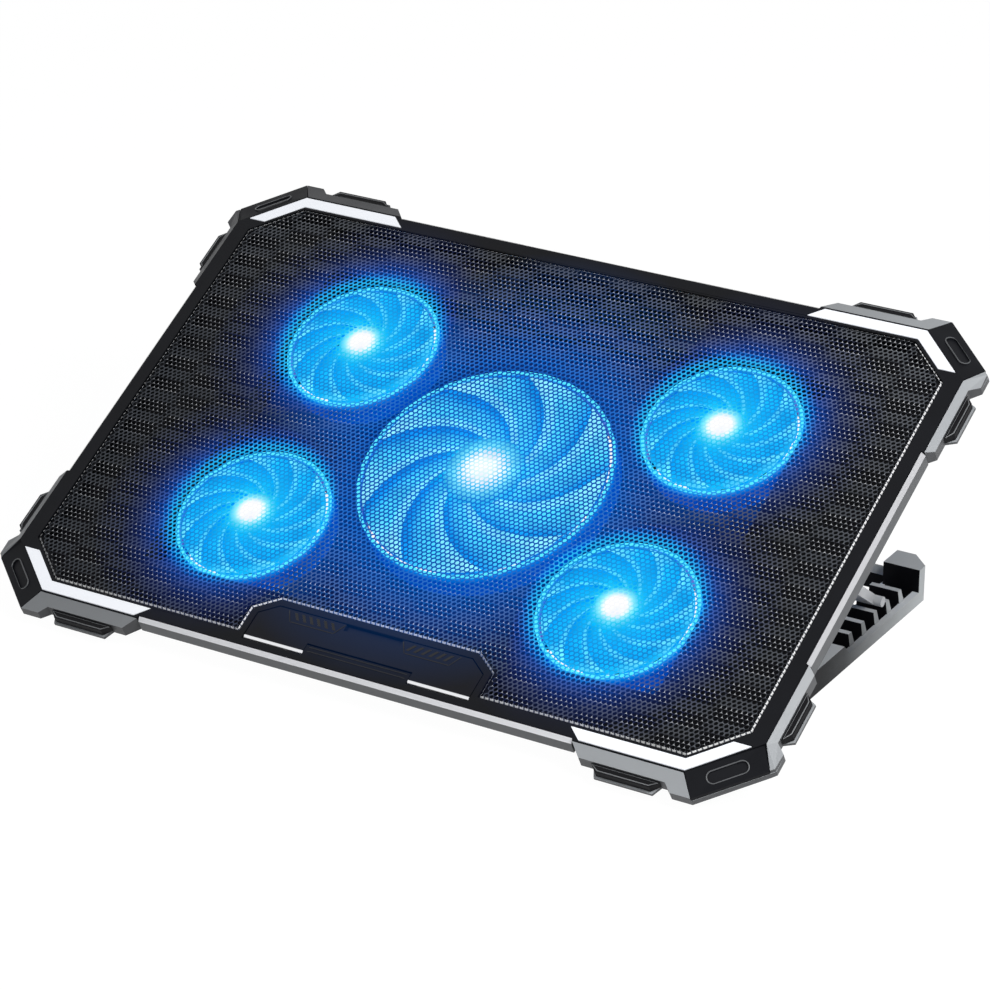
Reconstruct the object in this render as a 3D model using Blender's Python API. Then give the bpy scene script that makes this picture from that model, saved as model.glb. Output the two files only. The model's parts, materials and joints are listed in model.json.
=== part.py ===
"""A laptop cooling pad: a tilted five-fan pad on a folding stand, one object for each piece.

Lengths below are millimetres and are turned into metres by MM. Pad pieces are drawn in the pad's own
frame: x to the right, y to the rear, z out of the top face, with z = 0 on the top plane.
Stand pieces are drawn on the table: x, distance from the pad's front toe, and height.
"""

import math

import bmesh
import bpy
from mathutils import Matrix, Vector

MM = 0.001

# Clearances
FIT = 0.3
BORE_FIT = 0.3

# Pad outline and layers
PAD_HALF_X = 197.3
PAD_HALF_Y = 129.5
CORNER_CUT_X = 27.3
CORNER_CUT_Y = 24.0
FRAME_THICK = 2.4
PAD_DEPTH = 8.2
RAIL_SETBACK = 1.4
SHELL_INSET = 3.6
SHELL_WALL = 2.2
SHELL_FLOOR = 1.8

# Mesh grille
MESH_MARGIN = 8.0
MESH_LEDGE = 3.0
MESH_DROP = 0.7
MESH_THICK = 0.6
GRILLE_COLUMNS = 12
GRILLE_WEB = 5.0
GRILLE_BORDER = 2.0

# Corner guards
GUARD_LENGTH_X = 54.9
GUARD_LENGTH_Y = 43.5
GUARD_END = 5.5
SIDE_GUARD_END = 2.8
NOTCH_RISE = 4.0
FLANGE_REACH = (6.9, 10.6)
SLOPE_OUT = 6.1
SLOPE_DROP = 2.4
TOE_OUT = 9.8
TOE_DROP = 3.6
TOE_LENGTH = 10.0
SIDE_SLOPE_OUT = 3.8
SIDE_TOE_OUT = 8.1
FLANGE_THICK = 1.4
FLANGE_STEP = 0.15
POCKET_LENGTH = 18.5
POCKET_WIDTH = 5.4
POCKET_DEPTH = 0.8

# Guard tabs
TAB_LENGTH = 35.5
SIDE_TAB_LENGTH = 28.0
TAB_OUT = 4.9
TAB_SLANT = 3.5
TAB_TOP = 3.4
TAB_LIP = 1.3
TAB_RIM = 0.9
TAB_TOE_GAP = 1.4

# Light strips
STRIP_MARGIN = 0.9
STRIP_WIDTH = 5.6
STRIP_THICK = 0.9
STRIP_PROUD = 0.15
STRIP_LENGTH = 52.3
STRIP_TAIL = 3.3
STRIP_END_SLANT = 6.5

# Trim rails
RAIL_BEVEL = 1.9
RAIL_OUT = 1.0
PORT_RECESS = 0.8

# Flip-up stopper
STOP_HALF = 59.5
STOP_REAR_HALF = 51.0
STOP_FRONT_MARGIN = 5.2
STOP_DEPTH = 20.8
STOP_SIDE = 14.6
STOP_THICK = 3.6
STOP_DROP = 0.2
BARREL_RADIUS = 2.0
STOP_PIN_RADIUS = 0.8
KNUCKLE_HALF = 27.5
KNUCKLE_DEPTH = 5.2
TRAY_BORDER = 3.7
TRAY_FLOOR = 1.4
STOP_PLAY = 0.5
FINGER_HALF = 15.0
FINGER_LENGTH = 3.4
FINGER_DROP = 1.5

# Fans
FAN_X = 97.5
FAN_Y = 54.3
SMALL_RADIUS = 35.0
LARGE_RADIUS = 59.0
SMALL_HUB = 12.0
LARGE_HUB = 20.0
SMALL_BLADES = 11
LARGE_BLADES = 9
HUB_WALL = 1.5
HUB_TOP = 5.5
HUB_HEIGHT = 14.0
BLADE_TOP = 7.5
BLADE_HEIGHT = 10.0
BLADE_THICK = 1.0
BLADE_SWEEP = 34.0
SHAFT_RADIUS = 1.2
MOTOR_GAP = 0.7
MOTOR_FLANGE = 1.4
SHROUD_GAP = 1.5
SHROUD_WALL = 1.5
SHROUD_TOP = 8.0
SPOKE_COUNT = 3
SPOKE_WIDTH = 5.0
GRILLE_RING_WIDTH = 2.4

# Belly under the fans
BELLY_ROOM = 1.0
BELLY_DEPTH = 24.0
BELLY_WALL = 2.0

# Rear port housing
PORT_HALF = 46.0
PORT_DEPTH = 17.5
BOARD_THICK = 1.6
BOARD_HALF = 40.0
BOARD_LENGTH = 22.0
USB_WIDTH = 13.1
USB_HEIGHT = 5.7
USB_LENGTH = 15.0
USB_SKIN = 0.5
USB_TONGUE = 1.9
USB_PLACES = (-27.0, -6.0)
USB_PROUD = 0.3
BUTTON_X = 24.0
BUTTON_RADIUS = 2.2
BUTTON_COLLAR = 0.6
BUTTON_PROUD = 1.5
BUTTON_TRAVEL = 1.0

# Stand
TILT = math.radians(28.28)
TOE_HEIGHT = 4.9
HINGE_MARGIN = 19.5
HINGE_Z = -16.0
HINGE_PIN_RADIUS = 2.0
KNUCKLE_RADIUS = 6.0
EAR_THICK = 6.4
EAR_GAP = 7.0
RAIL_WIDTH = 20.0
RAIL_FLOOR = 3.0
RAIL_BASE = 1.0
ARM_TOP = 13.0
ARM_END = 158.0
STAND_END = 246.0
SIDE_WALL = 3.2
INNER_WALL = 2.4
SIDE_TOP = 7.3
TEETH = 5
TOOTH_FIRST = 166.0
TOOTH_PITCH = 13.0
TOOTH_TOP_WIDTH = 3.2
TOOTH_FOOT_WIDTH = 6.0
TOOTH_END_SLOPE = 2.4
BLOCK_START = 231.0
BLOCK_TOP = 19.0
BLOCK_CHAMFER = 9.0
BAR_LENGTH = 9.5
BAR_TOP = 9.0
FRONT_BAR_START = 24.0
FRONT_BAR_LENGTH = 11.0
FRONT_BAR_TOP = 5.0
FOOT_RADIUS = 6.0
FOOT_THICK = 1.6
FOOT_PLACES = (48.0, 238.0)

# Folding legs
LEG_INSET = 9.0
LEG_Y = 0.0
LEG_Z = -11.6
LEG_FOOT_GAP = 1.3
LEG_WIDTH = 6.0
LEG_HALF_THICK = 2.3
LEG_ANGLE = math.radians(-63.8)
LEG_PIN_RADIUS = 1.2
LEG_FOOT_RADIUS = 2.5
LEG_FOOT_LENGTH = 14.0
LUG_THICK = 3.0
LUG_HALF = 2.6

ROUND = 32
SMALL_ROUND = 16
REACH = 60.0

# Derived places
CORNER_X = PAD_HALF_X - CORNER_CUT_X
CORNER_Y = PAD_HALF_Y - CORNER_CUT_Y
GUARD_REACH_X = CORNER_X - GUARD_LENGTH_X
GUARD_REACH_Y = CORNER_Y - GUARD_LENGTH_Y
TOE_X = CORNER_X + FLANGE_REACH[0]
TOE_SHORT_Y = CORNER_Y + FLANGE_REACH[1]
TAB_LONG_MIDDLE = TOE_X - TOE_LENGTH - NOTCH_RISE - TAB_TOE_GAP - TAB_LENGTH / 2
TAB_SHORT_MIDDLE = TOE_SHORT_Y - TOE_LENGTH - NOTCH_RISE - TAB_TOE_GAP - SIDE_TAB_LENGTH / 2
STRIP_LONG_END = CORNER_X - STRIP_LENGTH
STRIP_SHORT_END = CORNER_Y + STRIP_TAIL
SHROUD_REACH = SMALL_RADIUS + SHROUD_GAP + SHROUD_WALL
BELLY_HALF_X = FAN_X + SHROUD_REACH + BELLY_ROOM + BELLY_WALL
BELLY_HALF_Y = FAN_Y + SHROUD_REACH + BELLY_ROOM + BELLY_WALL
STAND_HALF = BELLY_HALF_X + EAR_GAP + EAR_THICK + 2 * FIT + RAIL_WIDTH
LEG_X = STAND_HALF - LEG_INSET
TOE_Y = PAD_HALF_Y + TOE_OUT
HINGE_Y = -PAD_HALF_Y + HINGE_MARGIN
SHELL_TOP = -FRAME_THICK - FIT
FLOOR_TOP = -PAD_DEPTH + SHELL_FLOOR
BELLY_FLOOR = -BELLY_DEPTH + BELLY_WALL
SHELL_X = PAD_HALF_X - SHELL_INSET
SHELL_Y = PAD_HALF_Y - SHELL_INSET
STOP_FRONT = -PAD_HALF_Y + STOP_FRONT_MARGIN
STOP_AXIS_Y = STOP_FRONT + BARREL_RADIUS
STOP_AXIS_Z = -STOP_DROP - BARREL_RADIUS
TRAY_LOW = STOP_AXIS_Z - BARREL_RADIUS - STOP_PLAY - TRAY_FLOOR
PORT_FLOOR = -PORT_DEPTH + BELLY_WALL
PORT_FACE = SHELL_Y
BOARD_TOP = PORT_FLOOR + FIT + BOARD_THICK
USB_MIDDLE = BOARD_TOP + FIT + USB_HEIGHT / 2
FAN_PLACES = ((0, 0), (-FAN_X, -FAN_Y), (FAN_X, -FAN_Y), (-FAN_X, FAN_Y), (FAN_X, FAN_Y))
FAN_NAMES = ("centre", "front_left", "front_right", "rear_left", "rear_right")
CORNERS = {"front_left": (-1, -1), "front_right": (1, -1), "rear_left": (-1, 1), "rear_right": (1, 1)}
SIDES = {"left": -1, "right": 1}


def on_table(y, z):
    """Distance from the front toe and height above the table of a pad point at rest."""
    ahead, above = y + TOE_Y, z + PAD_DEPTH
    reach = ahead * math.cos(TILT) - above * math.sin(TILT)
    return reach, TOE_HEIGHT + ahead * math.sin(TILT) + above * math.cos(TILT)


HINGE_S, HINGE_H = on_table(HINGE_Y, HINGE_Z)
FRONT_S = on_table(-PAD_HALF_Y - SLOPE_OUT - TAB_OUT + TAB_RIM, -TAB_TOP)[0]
REAR_S = on_table(PAD_HALF_Y + SLOPE_OUT + TAB_OUT, -PAD_DEPTH)[0]
MIDDLE_S = (FRONT_S + REAR_S) / 2
LEG_DROP = on_table(LEG_Y, LEG_Z)[1] - ARM_TOP - LEG_FOOT_RADIUS - LEG_FOOT_GAP
LEG_LENGTH = LEG_DROP / math.sin(-TILT - LEG_ANGLE)


def clear_scene():
    for old in list(bpy.data.objects):
        bpy.data.objects.remove(old, do_unlink=True)


def collection(name):
    made = bpy.data.collections.new(name)
    bpy.context.scene.collection.children.link(made)
    return made


clear_scene()
PARTS = collection("laptop_cooling_pad")
CUTTERS = collection("cutters")


def material(name, colour, roughness, metallic=0.0):
    made = bpy.data.materials.new(name)
    made.use_nodes = True
    shader = made.node_tree.nodes["Principled BSDF"]
    shader.inputs["Base Color"].default_value = (*colour, 1.0)
    shader.inputs["Roughness"].default_value = roughness
    shader.inputs["Metallic"].default_value = metallic
    return made


BLACK = material("black_plastic", (0.012, 0.013, 0.015), 0.45)
GREY = material("grey_plastic", (0.30, 0.32, 0.33), 0.4)
DARK_GREY = material("dark_grey_plastic", (0.05, 0.053, 0.058), 0.5)
WHITE = material("white_strip", (0.88, 0.89, 0.92), 0.35)
MESH_STEEL = material("black_steel", (0.02, 0.02, 0.022), 0.35, 0.6)
CLEAR_BLUE = material("blue_fan", (0.02, 0.35, 0.95), 0.25)
STEEL = material("steel", (0.62, 0.62, 0.63), 0.3, 1.0)
RUBBER = material("rubber", (0.02, 0.02, 0.02), 0.8)
BOARD_GREEN = material("board", (0.02, 0.14, 0.06), 0.5)


def empty(name, place, tilt=0.0):
    made = bpy.data.objects.new(name, None)
    PARTS.objects.link(made)
    made.location = Vector(place) * MM
    made.rotation_euler.x = tilt
    return made


TABLE = empty("table_frame", (0, -MIDDLE_S, 0))
PAD = empty("pad_tilt", (0, HINGE_S, HINGE_H), TILT)
PAD.parent = TABLE
PAD_OFFSET = Vector((0, -HINGE_Y, -HINGE_Z)) * MM


def add_mesh(name, bm, paint):
    """Turns a bmesh in millimetres into an object of its own, faces out."""
    bmesh.ops.recalc_face_normals(bm, faces=bm.faces)
    bmesh.ops.scale(bm, vec=(MM, MM, MM), verts=bm.verts)
    mesh = bpy.data.meshes.new(name)
    bm.to_mesh(mesh)
    bm.free()
    mesh.materials.append(paint)
    made = bpy.data.objects.new(name, mesh)
    PARTS.objects.link(made)
    return made


def to_pad(thing, place=(0, 0, 0)):
    thing.parent = PAD
    thing.location = PAD_OFFSET + Vector(place) * MM
    return thing


def to_table(thing):
    thing.parent = TABLE
    return thing


def loft(name, sections, paint=BLACK):
    """Closed solid through rings of equal point count, capped at both ends."""
    bm = bmesh.new()
    rings = [[bm.verts.new(point) for point in section] for section in sections]
    for low, high in zip(rings, rings[1:]):
        for i in range(len(low)):
            j = (i + 1) % len(low)
            bm.faces.new((low[i], low[j], high[j], high[i]))
    bm.faces.new(rings[0])
    bm.faces.new(rings[-1])
    return add_mesh(name, bm, paint)


def prism(name, outline, low, high, paint=BLACK, holes=()):
    """Flat outline with any holes, raised from low to high: a filled 2D curve, made a mesh."""
    curve = bpy.data.curves.new(name, "CURVE")
    curve.dimensions = "2D"
    curve.fill_mode = "BOTH"
    curve.extrude = (high - low) / 2
    for loop in (outline, *holes):
        spline = curve.splines.new("POLY")
        spline.points.add(len(loop) - 1)
        for point, (x, y) in zip(spline.points, loop):
            point.co = (x, y, 0, 1)
        spline.use_cyclic_u = True
    drawn = bpy.data.objects.new(name + "_outline", curve)
    PARTS.objects.link(drawn)
    graph = bpy.context.evaluated_depsgraph_get()
    mesh = bpy.data.meshes.new_from_object(drawn.evaluated_get(graph))
    bpy.data.objects.remove(drawn, do_unlink=True)
    bm = bmesh.new()
    bm.from_mesh(mesh)
    bpy.data.meshes.remove(mesh)
    bmesh.ops.remove_doubles(bm, verts=bm.verts, dist=0.001)
    bmesh.ops.translate(bm, vec=(0, 0, (low + high) / 2), verts=bm.verts)
    return add_mesh(name, bm, paint)


def box(name, low, high, paint=BLACK):
    bm = bmesh.new()
    bmesh.ops.create_cube(bm, size=1.0)
    bmesh.ops.scale(bm, vec=[h - l for l, h in zip(low, high)], verts=bm.verts)
    bmesh.ops.translate(bm, vec=[(h + l) / 2 for l, h in zip(low, high)], verts=bm.verts)
    return add_mesh(name, bm, paint)


def rod(name, radius, start, end, paint=STEEL, sides=SMALL_ROUND):
    """Cylinder between two points."""
    start, end = Vector(start), Vector(end)
    bm = bmesh.new()
    bmesh.ops.create_cone(
        bm, cap_ends=True, segments=sides, radius1=radius, radius2=radius, depth=(end - start).length
    )
    turn = Vector((0, 0, 1)).rotation_difference(end - start).to_matrix().to_4x4()
    bmesh.ops.transform(bm, matrix=Matrix.Translation((start + end) / 2) @ turn, verts=bm.verts)
    return add_mesh(name, bm, paint)


def turned(name, profile, paint, sides=ROUND, ring=False):
    """Profile of (radius, height) points spun round z; ring closes a profile clear of the axis."""
    bm = bmesh.new()
    points = [bm.verts.new((radius, 0, height)) for radius, height in profile]
    pairs = list(zip(points, points[1:])) + ([(points[-1], points[0])] if ring else [])
    edges = [bm.edges.new(pair) for pair in pairs]
    bmesh.ops.spin(
        bm, geom=points + edges, cent=(0, 0, 0), axis=(0, 0, 1), angle=math.tau, steps=sides, use_merge=True
    )
    bmesh.ops.remove_doubles(bm, verts=bm.verts, dist=0.001)
    made = add_mesh(name, bm, paint)
    made.data.shade_smooth()
    made.data.set_sharp_from_angle(angle=math.radians(40))
    return made


def combine(target, operation, others):
    for other in others:
        other.hide_render = True
        other.display_type = "WIRE"
        PARTS.objects.unlink(other)
        CUTTERS.objects.link(other)
        change = target.modifiers.new(operation.lower(), "BOOLEAN")
        change.operation = operation
        change.object = other
    return target


def cut(target, *cutters):
    return combine(target, "DIFFERENCE", cutters)


def join(target, *others):
    return combine(target, "UNION", others)


def mirror_outline(quarter):
    """Closed outline from its points in the first quadrant, listed from the y side to the x side."""
    half = quarter + [(x, -y) for x, y in reversed(quarter)]
    return half + [(-x, y) for x, y in reversed(half)]


def crossing(a, b, c, d):
    """Where the line through a and b meets the line through c and d."""
    (ax, ay), (bx, by), (cx, cy), (dx, dy) = a, b, c, d
    ux, uy, vx, vy = bx - ax, by - ay, dx - cx, dy - cy
    along = ((cx - ax) * vy - (cy - ay) * vx) / (ux * vy - uy * vx)
    return ax + along * ux, ay + along * uy


def shifted(a, b, distance):
    """The line through a and b moved to its right by a distance."""
    (ax, ay), (bx, by) = a, b
    length = math.hypot(bx - ax, by - ay)
    nx, ny = (by - ay) / length * distance, -(bx - ax) / length * distance
    return (ax + nx, ay + ny), (bx + nx, by + ny)


def inset(outline, distance):
    """Clockwise closed outline drawn in by a distance all round."""
    count = len(outline)
    sides = [shifted(outline[i], outline[(i + 1) % count], distance) for i in range(count)]
    return [crossing(*sides[i - 1], *sides[i]) for i in range(count)]


def octagon(half_x, half_y, cut_x, cut_y):
    return mirror_outline([(half_x - cut_x, half_y), (half_x, half_y - cut_y)])


PAD_OCTAGON = octagon(PAD_HALF_X, PAD_HALF_Y, CORNER_CUT_X, CORNER_CUT_Y)
SHELL_OUTLINE = inset(PAD_OCTAGON, SHELL_INSET)


def frame_outline():
    """Top frame edge: full at the guarded corners, set back along the trim rails."""
    back_x, back_y = PAD_HALF_X - RAIL_SETBACK, PAD_HALF_Y - RAIL_SETBACK
    return mirror_outline([
        (GUARD_REACH_X - FIT, back_y),
        (GUARD_REACH_X, PAD_HALF_Y),
        (CORNER_X, PAD_HALF_Y),
        (PAD_HALF_X, CORNER_Y),
        (PAD_HALF_X, GUARD_REACH_Y),
        (back_x, GUARD_REACH_Y - FIT),
    ])


def stopper_outline(grow=0.0):
    """Outline of the stopper, wide along its hinge and drawn in at the rear corners."""
    front, rear = STOP_FRONT, STOP_FRONT + STOP_DEPTH
    corners = [(-STOP_HALF, front), (-STOP_HALF, front + STOP_SIDE), (-STOP_REAR_HALF, rear)]
    outline = corners + [(-x, y) for x, y in reversed(corners)]
    return inset(outline, -grow) if grow else outline


def mesh_outline():
    """Opening for the mesh: an octagon with a bay for the stopper's tray."""
    octa = inset(PAD_OCTAGON, MESH_MARGIN)
    front = -PAD_HALF_Y + MESH_MARGIN
    tray = [point for point in stopper_outline(TRAY_BORDER) if point[1] > front]
    half = STOP_HALF + TRAY_BORDER
    bay = [(half, front)] + [point for point in reversed(tray)] + [(-half, front)]
    at = next(i for i, point in enumerate(octa) if point[1] < 0 and octa[i - 1][1] == point[1])
    return octa[:at] + bay + octa[at:]


MESH_OUTLINE = mesh_outline()


def corner_point(signs, x, y, z):
    return signs[0] * x, signs[1] * y, z


def flange(name, signs):
    """Slanted black plate over a cut corner, from the top plane down to the guard's toe."""
    edge_long = (CORNER_X, PAD_HALF_Y)
    edge_short = (PAD_HALF_X, CORNER_Y)
    inner_long, inner_short = shifted(edge_long, edge_short, SHELL_INSET)
    outer_long = (TOE_X, PAD_HALF_Y + TOE_OUT)
    outer_short = (PAD_HALF_X + SLOPE_OUT, TOE_SHORT_Y)
    heights = (-FLANGE_STEP, -FLANGE_STEP, -TOE_DROP, -TOE_DROP - FLANGE_STEP)
    rows = []
    for below in (0, FLANGE_THICK):
        rows.append([
            corner_point(signs, *inner_long, heights[0] - below),
            corner_point(signs, *edge_long, heights[0] - below),
            corner_point(signs, *outer_long, heights[2] - below),
            corner_point(signs, *outer_short, heights[3] - below),
            corner_point(signs, *edge_short, heights[0] - below),
            corner_point(signs, *inner_short, heights[0] - below),
        ])
    return to_pad(loft(name, rows))


def slope_pocket(name, signs):
    """Oblong cutter sunk into a corner flange along the cut."""
    along = Vector((signs[0] * CORNER_CUT_X, -signs[1] * CORNER_CUT_Y, 0)).normalized()
    middle_x = PAD_HALF_X - CORNER_CUT_X / 2 + FLANGE_REACH[0] / 2
    middle_y = PAD_HALF_Y - CORNER_CUT_Y / 2 + FLANGE_REACH[1] / 2
    out = Vector((along.y, -along.x, 0)) * (-signs[0] * signs[1])
    if out.x * signs[0] < 0:
        out = -out
    width = (TOE_OUT + SLOPE_OUT) / 2
    down = (out * width + Vector((0, 0, -TOE_DROP))).normalized()
    normal = along.cross(down)
    if normal.z < 0:
        normal = -normal
        along = -along
    middle = Vector((signs[0] * middle_x, signs[1] * middle_y, -TOE_DROP / 2 - FLANGE_STEP))
    straight, radius = (POCKET_LENGTH - POCKET_WIDTH) / 2, POCKET_WIDTH / 2
    outline = []
    for end in (1, -1):
        for step in range(SMALL_ROUND // 2 + 1):
            angle = math.pi * step / (SMALL_ROUND // 2) - math.pi / 2
            outline.append((end * (straight + radius * math.cos(angle)), end * radius * math.sin(angle)))
    tool = prism(name, outline, -POCKET_DEPTH, TOE_OUT)
    place = Matrix((along, down, normal)).transposed().to_4x4()
    place.translation = middle * MM
    tool.data.transform(place)
    return to_pad(tool)


def strip_outline(signs, grow=0.0):
    """V of a light strip: along the long edge and round the cut corner."""
    corner = (CORNER_X, PAD_HALF_Y)
    start = (STRIP_LONG_END, PAD_HALF_Y)
    end = (PAD_HALF_X, CORNER_Y)
    rows = []
    for distance in (STRIP_MARGIN - grow, STRIP_MARGIN + STRIP_WIDTH + grow):
        long_side = shifted(start, corner, distance)
        short_side = shifted(corner, end, distance)
        bend = crossing(*long_side, *short_side)
        tail = crossing(*short_side, (0, STRIP_SHORT_END - grow), (1, STRIP_SHORT_END - grow))
        rows.append([(long_side[0][0] - grow, long_side[0][1]), bend, tail])
    outer, inner = rows
    inner[0] = (inner[0][0] - STRIP_END_SLANT, inner[0][1])
    return [(signs[0] * x, signs[1] * y) for x, y in outer + inner[::-1]]


def make_top_frame():
    frame = to_pad(prism("top_frame", frame_outline(), -FRAME_THICK, 0))
    tray = [(x, max(y, -SHELL_Y)) for x, y in stopper_outline(TRAY_BORDER - FIT)]
    join(frame, to_pad(prism("tray", tray, TRAY_LOW, -MESH_DROP - MESH_THICK)))
    for name, signs in CORNERS.items():
        join(frame, flange(f"flange_{name}", signs))
    seat = -MESH_DROP - MESH_THICK - FIT
    cut(
        frame,
        to_pad(prism("mesh_seat", MESH_OUTLINE, seat, 1.0)),
        to_pad(prism("mesh_opening", inset(MESH_OUTLINE, MESH_LEDGE), -FRAME_THICK - 1.0, 1.0)),
        to_pad(prism("stop_pocket", stopper_outline(STOP_PLAY), TRAY_LOW + TRAY_FLOOR, 1.0)),
    )
    knuckle_low = (-KNUCKLE_HALF, -SHELL_Y + FIT, TRAY_LOW + TRAY_FLOOR / 2)
    knuckle_high = (KNUCKLE_HALF, STOP_FRONT + KNUCKLE_DEPTH, -STOP_DROP)
    join(frame, to_pad(box("stop_knuckle", knuckle_low, knuckle_high)))
    pin_half = STOP_HALF + STOP_PLAY + TRAY_BORDER / 2
    bore = STOP_PIN_RADIUS + BORE_FIT
    axis = (STOP_AXIS_Y, STOP_AXIS_Z)
    cut(frame, to_pad(rod("stop_pin_bore", bore, (-pin_half, *axis), (pin_half, *axis))))
    for name, signs in CORNERS.items():
        strip_seat = STRIP_PROUD - STRIP_THICK - FIT
        pocket = prism(f"strip_pocket_{name}", strip_outline(signs, FIT), strip_seat, 1.0)
        cut(frame, to_pad(pocket), slope_pocket(f"slope_pocket_{name}", signs))
    return frame


def inside(point, outline):
    """Whether a point lies in a closed outline, by counting the sides to its right."""
    x, y = point
    crossed = False
    for (x1, y1), (x2, y2) in zip(outline, outline[1:] + outline[:1]):
        if (y1 > y) != (y2 > y) and x < x1 + (y - y1) / (y2 - y1) * (x2 - x1):
            crossed = not crossed
    return crossed


def grille_holes():
    """Six-sided openings in staggered rows, wherever a whole one fits in the mesh."""
    field = inset(MESH_OUTLINE, GRILLE_BORDER)
    pitch = 2 * (PAD_HALF_X - MESH_MARGIN - GRILLE_BORDER) / (GRILLE_COLUMNS + 0.5)
    rise = pitch * math.sqrt(3) / 2
    radius = (pitch - GRILLE_WEB) / math.sqrt(3)
    rows = int((PAD_HALF_Y - MESH_MARGIN) / rise)
    holes = []
    for line in range(-rows, rows + 1):
        shift = 0.25 if line % 2 else -0.25
        for column in range(GRILLE_COLUMNS):
            x = (column - (GRILLE_COLUMNS - 1) / 2 + shift) * pitch
            corners = []
            for side in range(6):
                angle = math.radians(30 + 60 * side)
                corners.append((x + radius * math.cos(angle), line * rise + radius * math.sin(angle)))
            if all(inside(corner, field) for corner in corners):
                holes.append(corners)
    return holes


def make_mesh_grille():
    outline = inset(MESH_OUTLINE, FIT)
    low = -MESH_DROP - MESH_THICK
    return to_pad(prism("mesh_grille", outline, low, -MESH_DROP, MESH_STEEL, grille_holes()))


def make_strips():
    for name, signs in CORNERS.items():
        low = STRIP_PROUD - STRIP_THICK
        to_pad(prism(f"light_strip_{name}", strip_outline(signs), low, STRIP_PROUD, WHITE))


def tab_outline(half, out, slant):
    return [(-half, -FIT), (half, -FIT), (half - slant, out), (-half + slant, out)]


def place_tab(points, signs, side):
    """Tab outline points moved to the guard's long or short side."""
    if side == "long":
        middle, face = TAB_LONG_MIDDLE, PAD_HALF_Y + SLOPE_OUT
        return [(signs[0] * (middle + u), signs[1] * (face + v)) for u, v in points]
    middle, face = TAB_SHORT_MIDDLE, PAD_HALF_X + SIDE_SLOPE_OUT
    return [(signs[0] * (face + v), signs[1] * (middle + u)) for u, v in points]


def guard_caps(name, signs):
    """The guard's two sloped tops, on the long side and on the short side of the corner."""
    bottom = -PAD_DEPTH + TOE_DROP / 2
    face = PAD_HALF_Y + FIT
    long_side = [
        (GUARD_REACH_X, face, -FIT),
        (GUARD_REACH_X + GUARD_END, PAD_HALF_Y + SLOPE_OUT, -SLOPE_DROP),
        (TOE_X - TOE_LENGTH - NOTCH_RISE, PAD_HALF_Y + SLOPE_OUT, -SLOPE_DROP),
        (TOE_X - TOE_LENGTH, PAD_HALF_Y + TOE_OUT, -TOE_DROP),
        (TOE_X - FIT, PAD_HALF_Y + TOE_OUT, -TOE_DROP),
        (CORNER_X - FIT, face, -FIT),
    ]
    face = PAD_HALF_X + FIT
    short_side = [
        (face, GUARD_REACH_Y - FIT, -FIT),
        (PAD_HALF_X + SIDE_SLOPE_OUT, GUARD_REACH_Y + SIDE_GUARD_END, -SLOPE_DROP),
        (PAD_HALF_X + SIDE_SLOPE_OUT, TOE_SHORT_Y - TOE_LENGTH - NOTCH_RISE, -SLOPE_DROP),
        (PAD_HALF_X + SIDE_TOE_OUT, TOE_SHORT_Y - TOE_LENGTH, -TOE_DROP),
        (PAD_HALF_X + SIDE_TOE_OUT - FIT, TOE_SHORT_Y - SIDE_TOE_OUT + SLOPE_OUT, -TOE_DROP),
        (PAD_HALF_X + SLOPE_OUT, TOE_SHORT_Y - 2 * FIT, -TOE_DROP),
        (face, CORNER_Y - FIT, -FIT),
    ]
    made = []
    for side, points in (("long", long_side), ("short", short_side)):
        low = [corner_point(signs, x, y, bottom) for x, y, z in points]
        high = [corner_point(signs, x, y, z) for x, y, z in points]
        made.append(to_pad(loft(f"cap_{side}_{name}", [low, high])))
    return made


def guard_base_outline(signs):
    """Plan of the guard's wall round the corner, down to the pad's bottom edge."""
    shell = SHELL_INSET - FIT
    inner_long, inner_short = shifted((CORNER_X, PAD_HALF_Y), (PAD_HALF_X, CORNER_Y), shell)
    bend_long = crossing(inner_long, inner_short, (0, PAD_HALF_Y - shell), (1, PAD_HALF_Y - shell))
    bend_short = crossing(inner_long, inner_short, (PAD_HALF_X - shell, 0), (PAD_HALF_X - shell, 1))
    outline = [
        (GUARD_REACH_X, PAD_HALF_Y - shell),
        (GUARD_REACH_X, PAD_HALF_Y + FIT),
        (GUARD_REACH_X + GUARD_END, PAD_HALF_Y + SLOPE_OUT),
        (TOE_X - TOE_LENGTH - NOTCH_RISE, PAD_HALF_Y + SLOPE_OUT),
        (TOE_X - TOE_LENGTH, PAD_HALF_Y + TOE_OUT),
        (TOE_X, PAD_HALF_Y + TOE_OUT),
        (PAD_HALF_X + SLOPE_OUT, TOE_SHORT_Y),
        (PAD_HALF_X + SIDE_TOE_OUT, TOE_SHORT_Y - SIDE_TOE_OUT + SLOPE_OUT),
        (PAD_HALF_X + SIDE_TOE_OUT, TOE_SHORT_Y - TOE_LENGTH),
        (PAD_HALF_X + SIDE_SLOPE_OUT, TOE_SHORT_Y - TOE_LENGTH - NOTCH_RISE),
        (PAD_HALF_X + SIDE_SLOPE_OUT, GUARD_REACH_Y + SIDE_GUARD_END),
        (PAD_HALF_X + FIT, GUARD_REACH_Y - FIT),
        (PAD_HALF_X - shell, GUARD_REACH_Y - FIT),
        bend_short,
        bend_long,
    ]
    return [(signs[0] * x, signs[1] * y) for x, y in outline]


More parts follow.
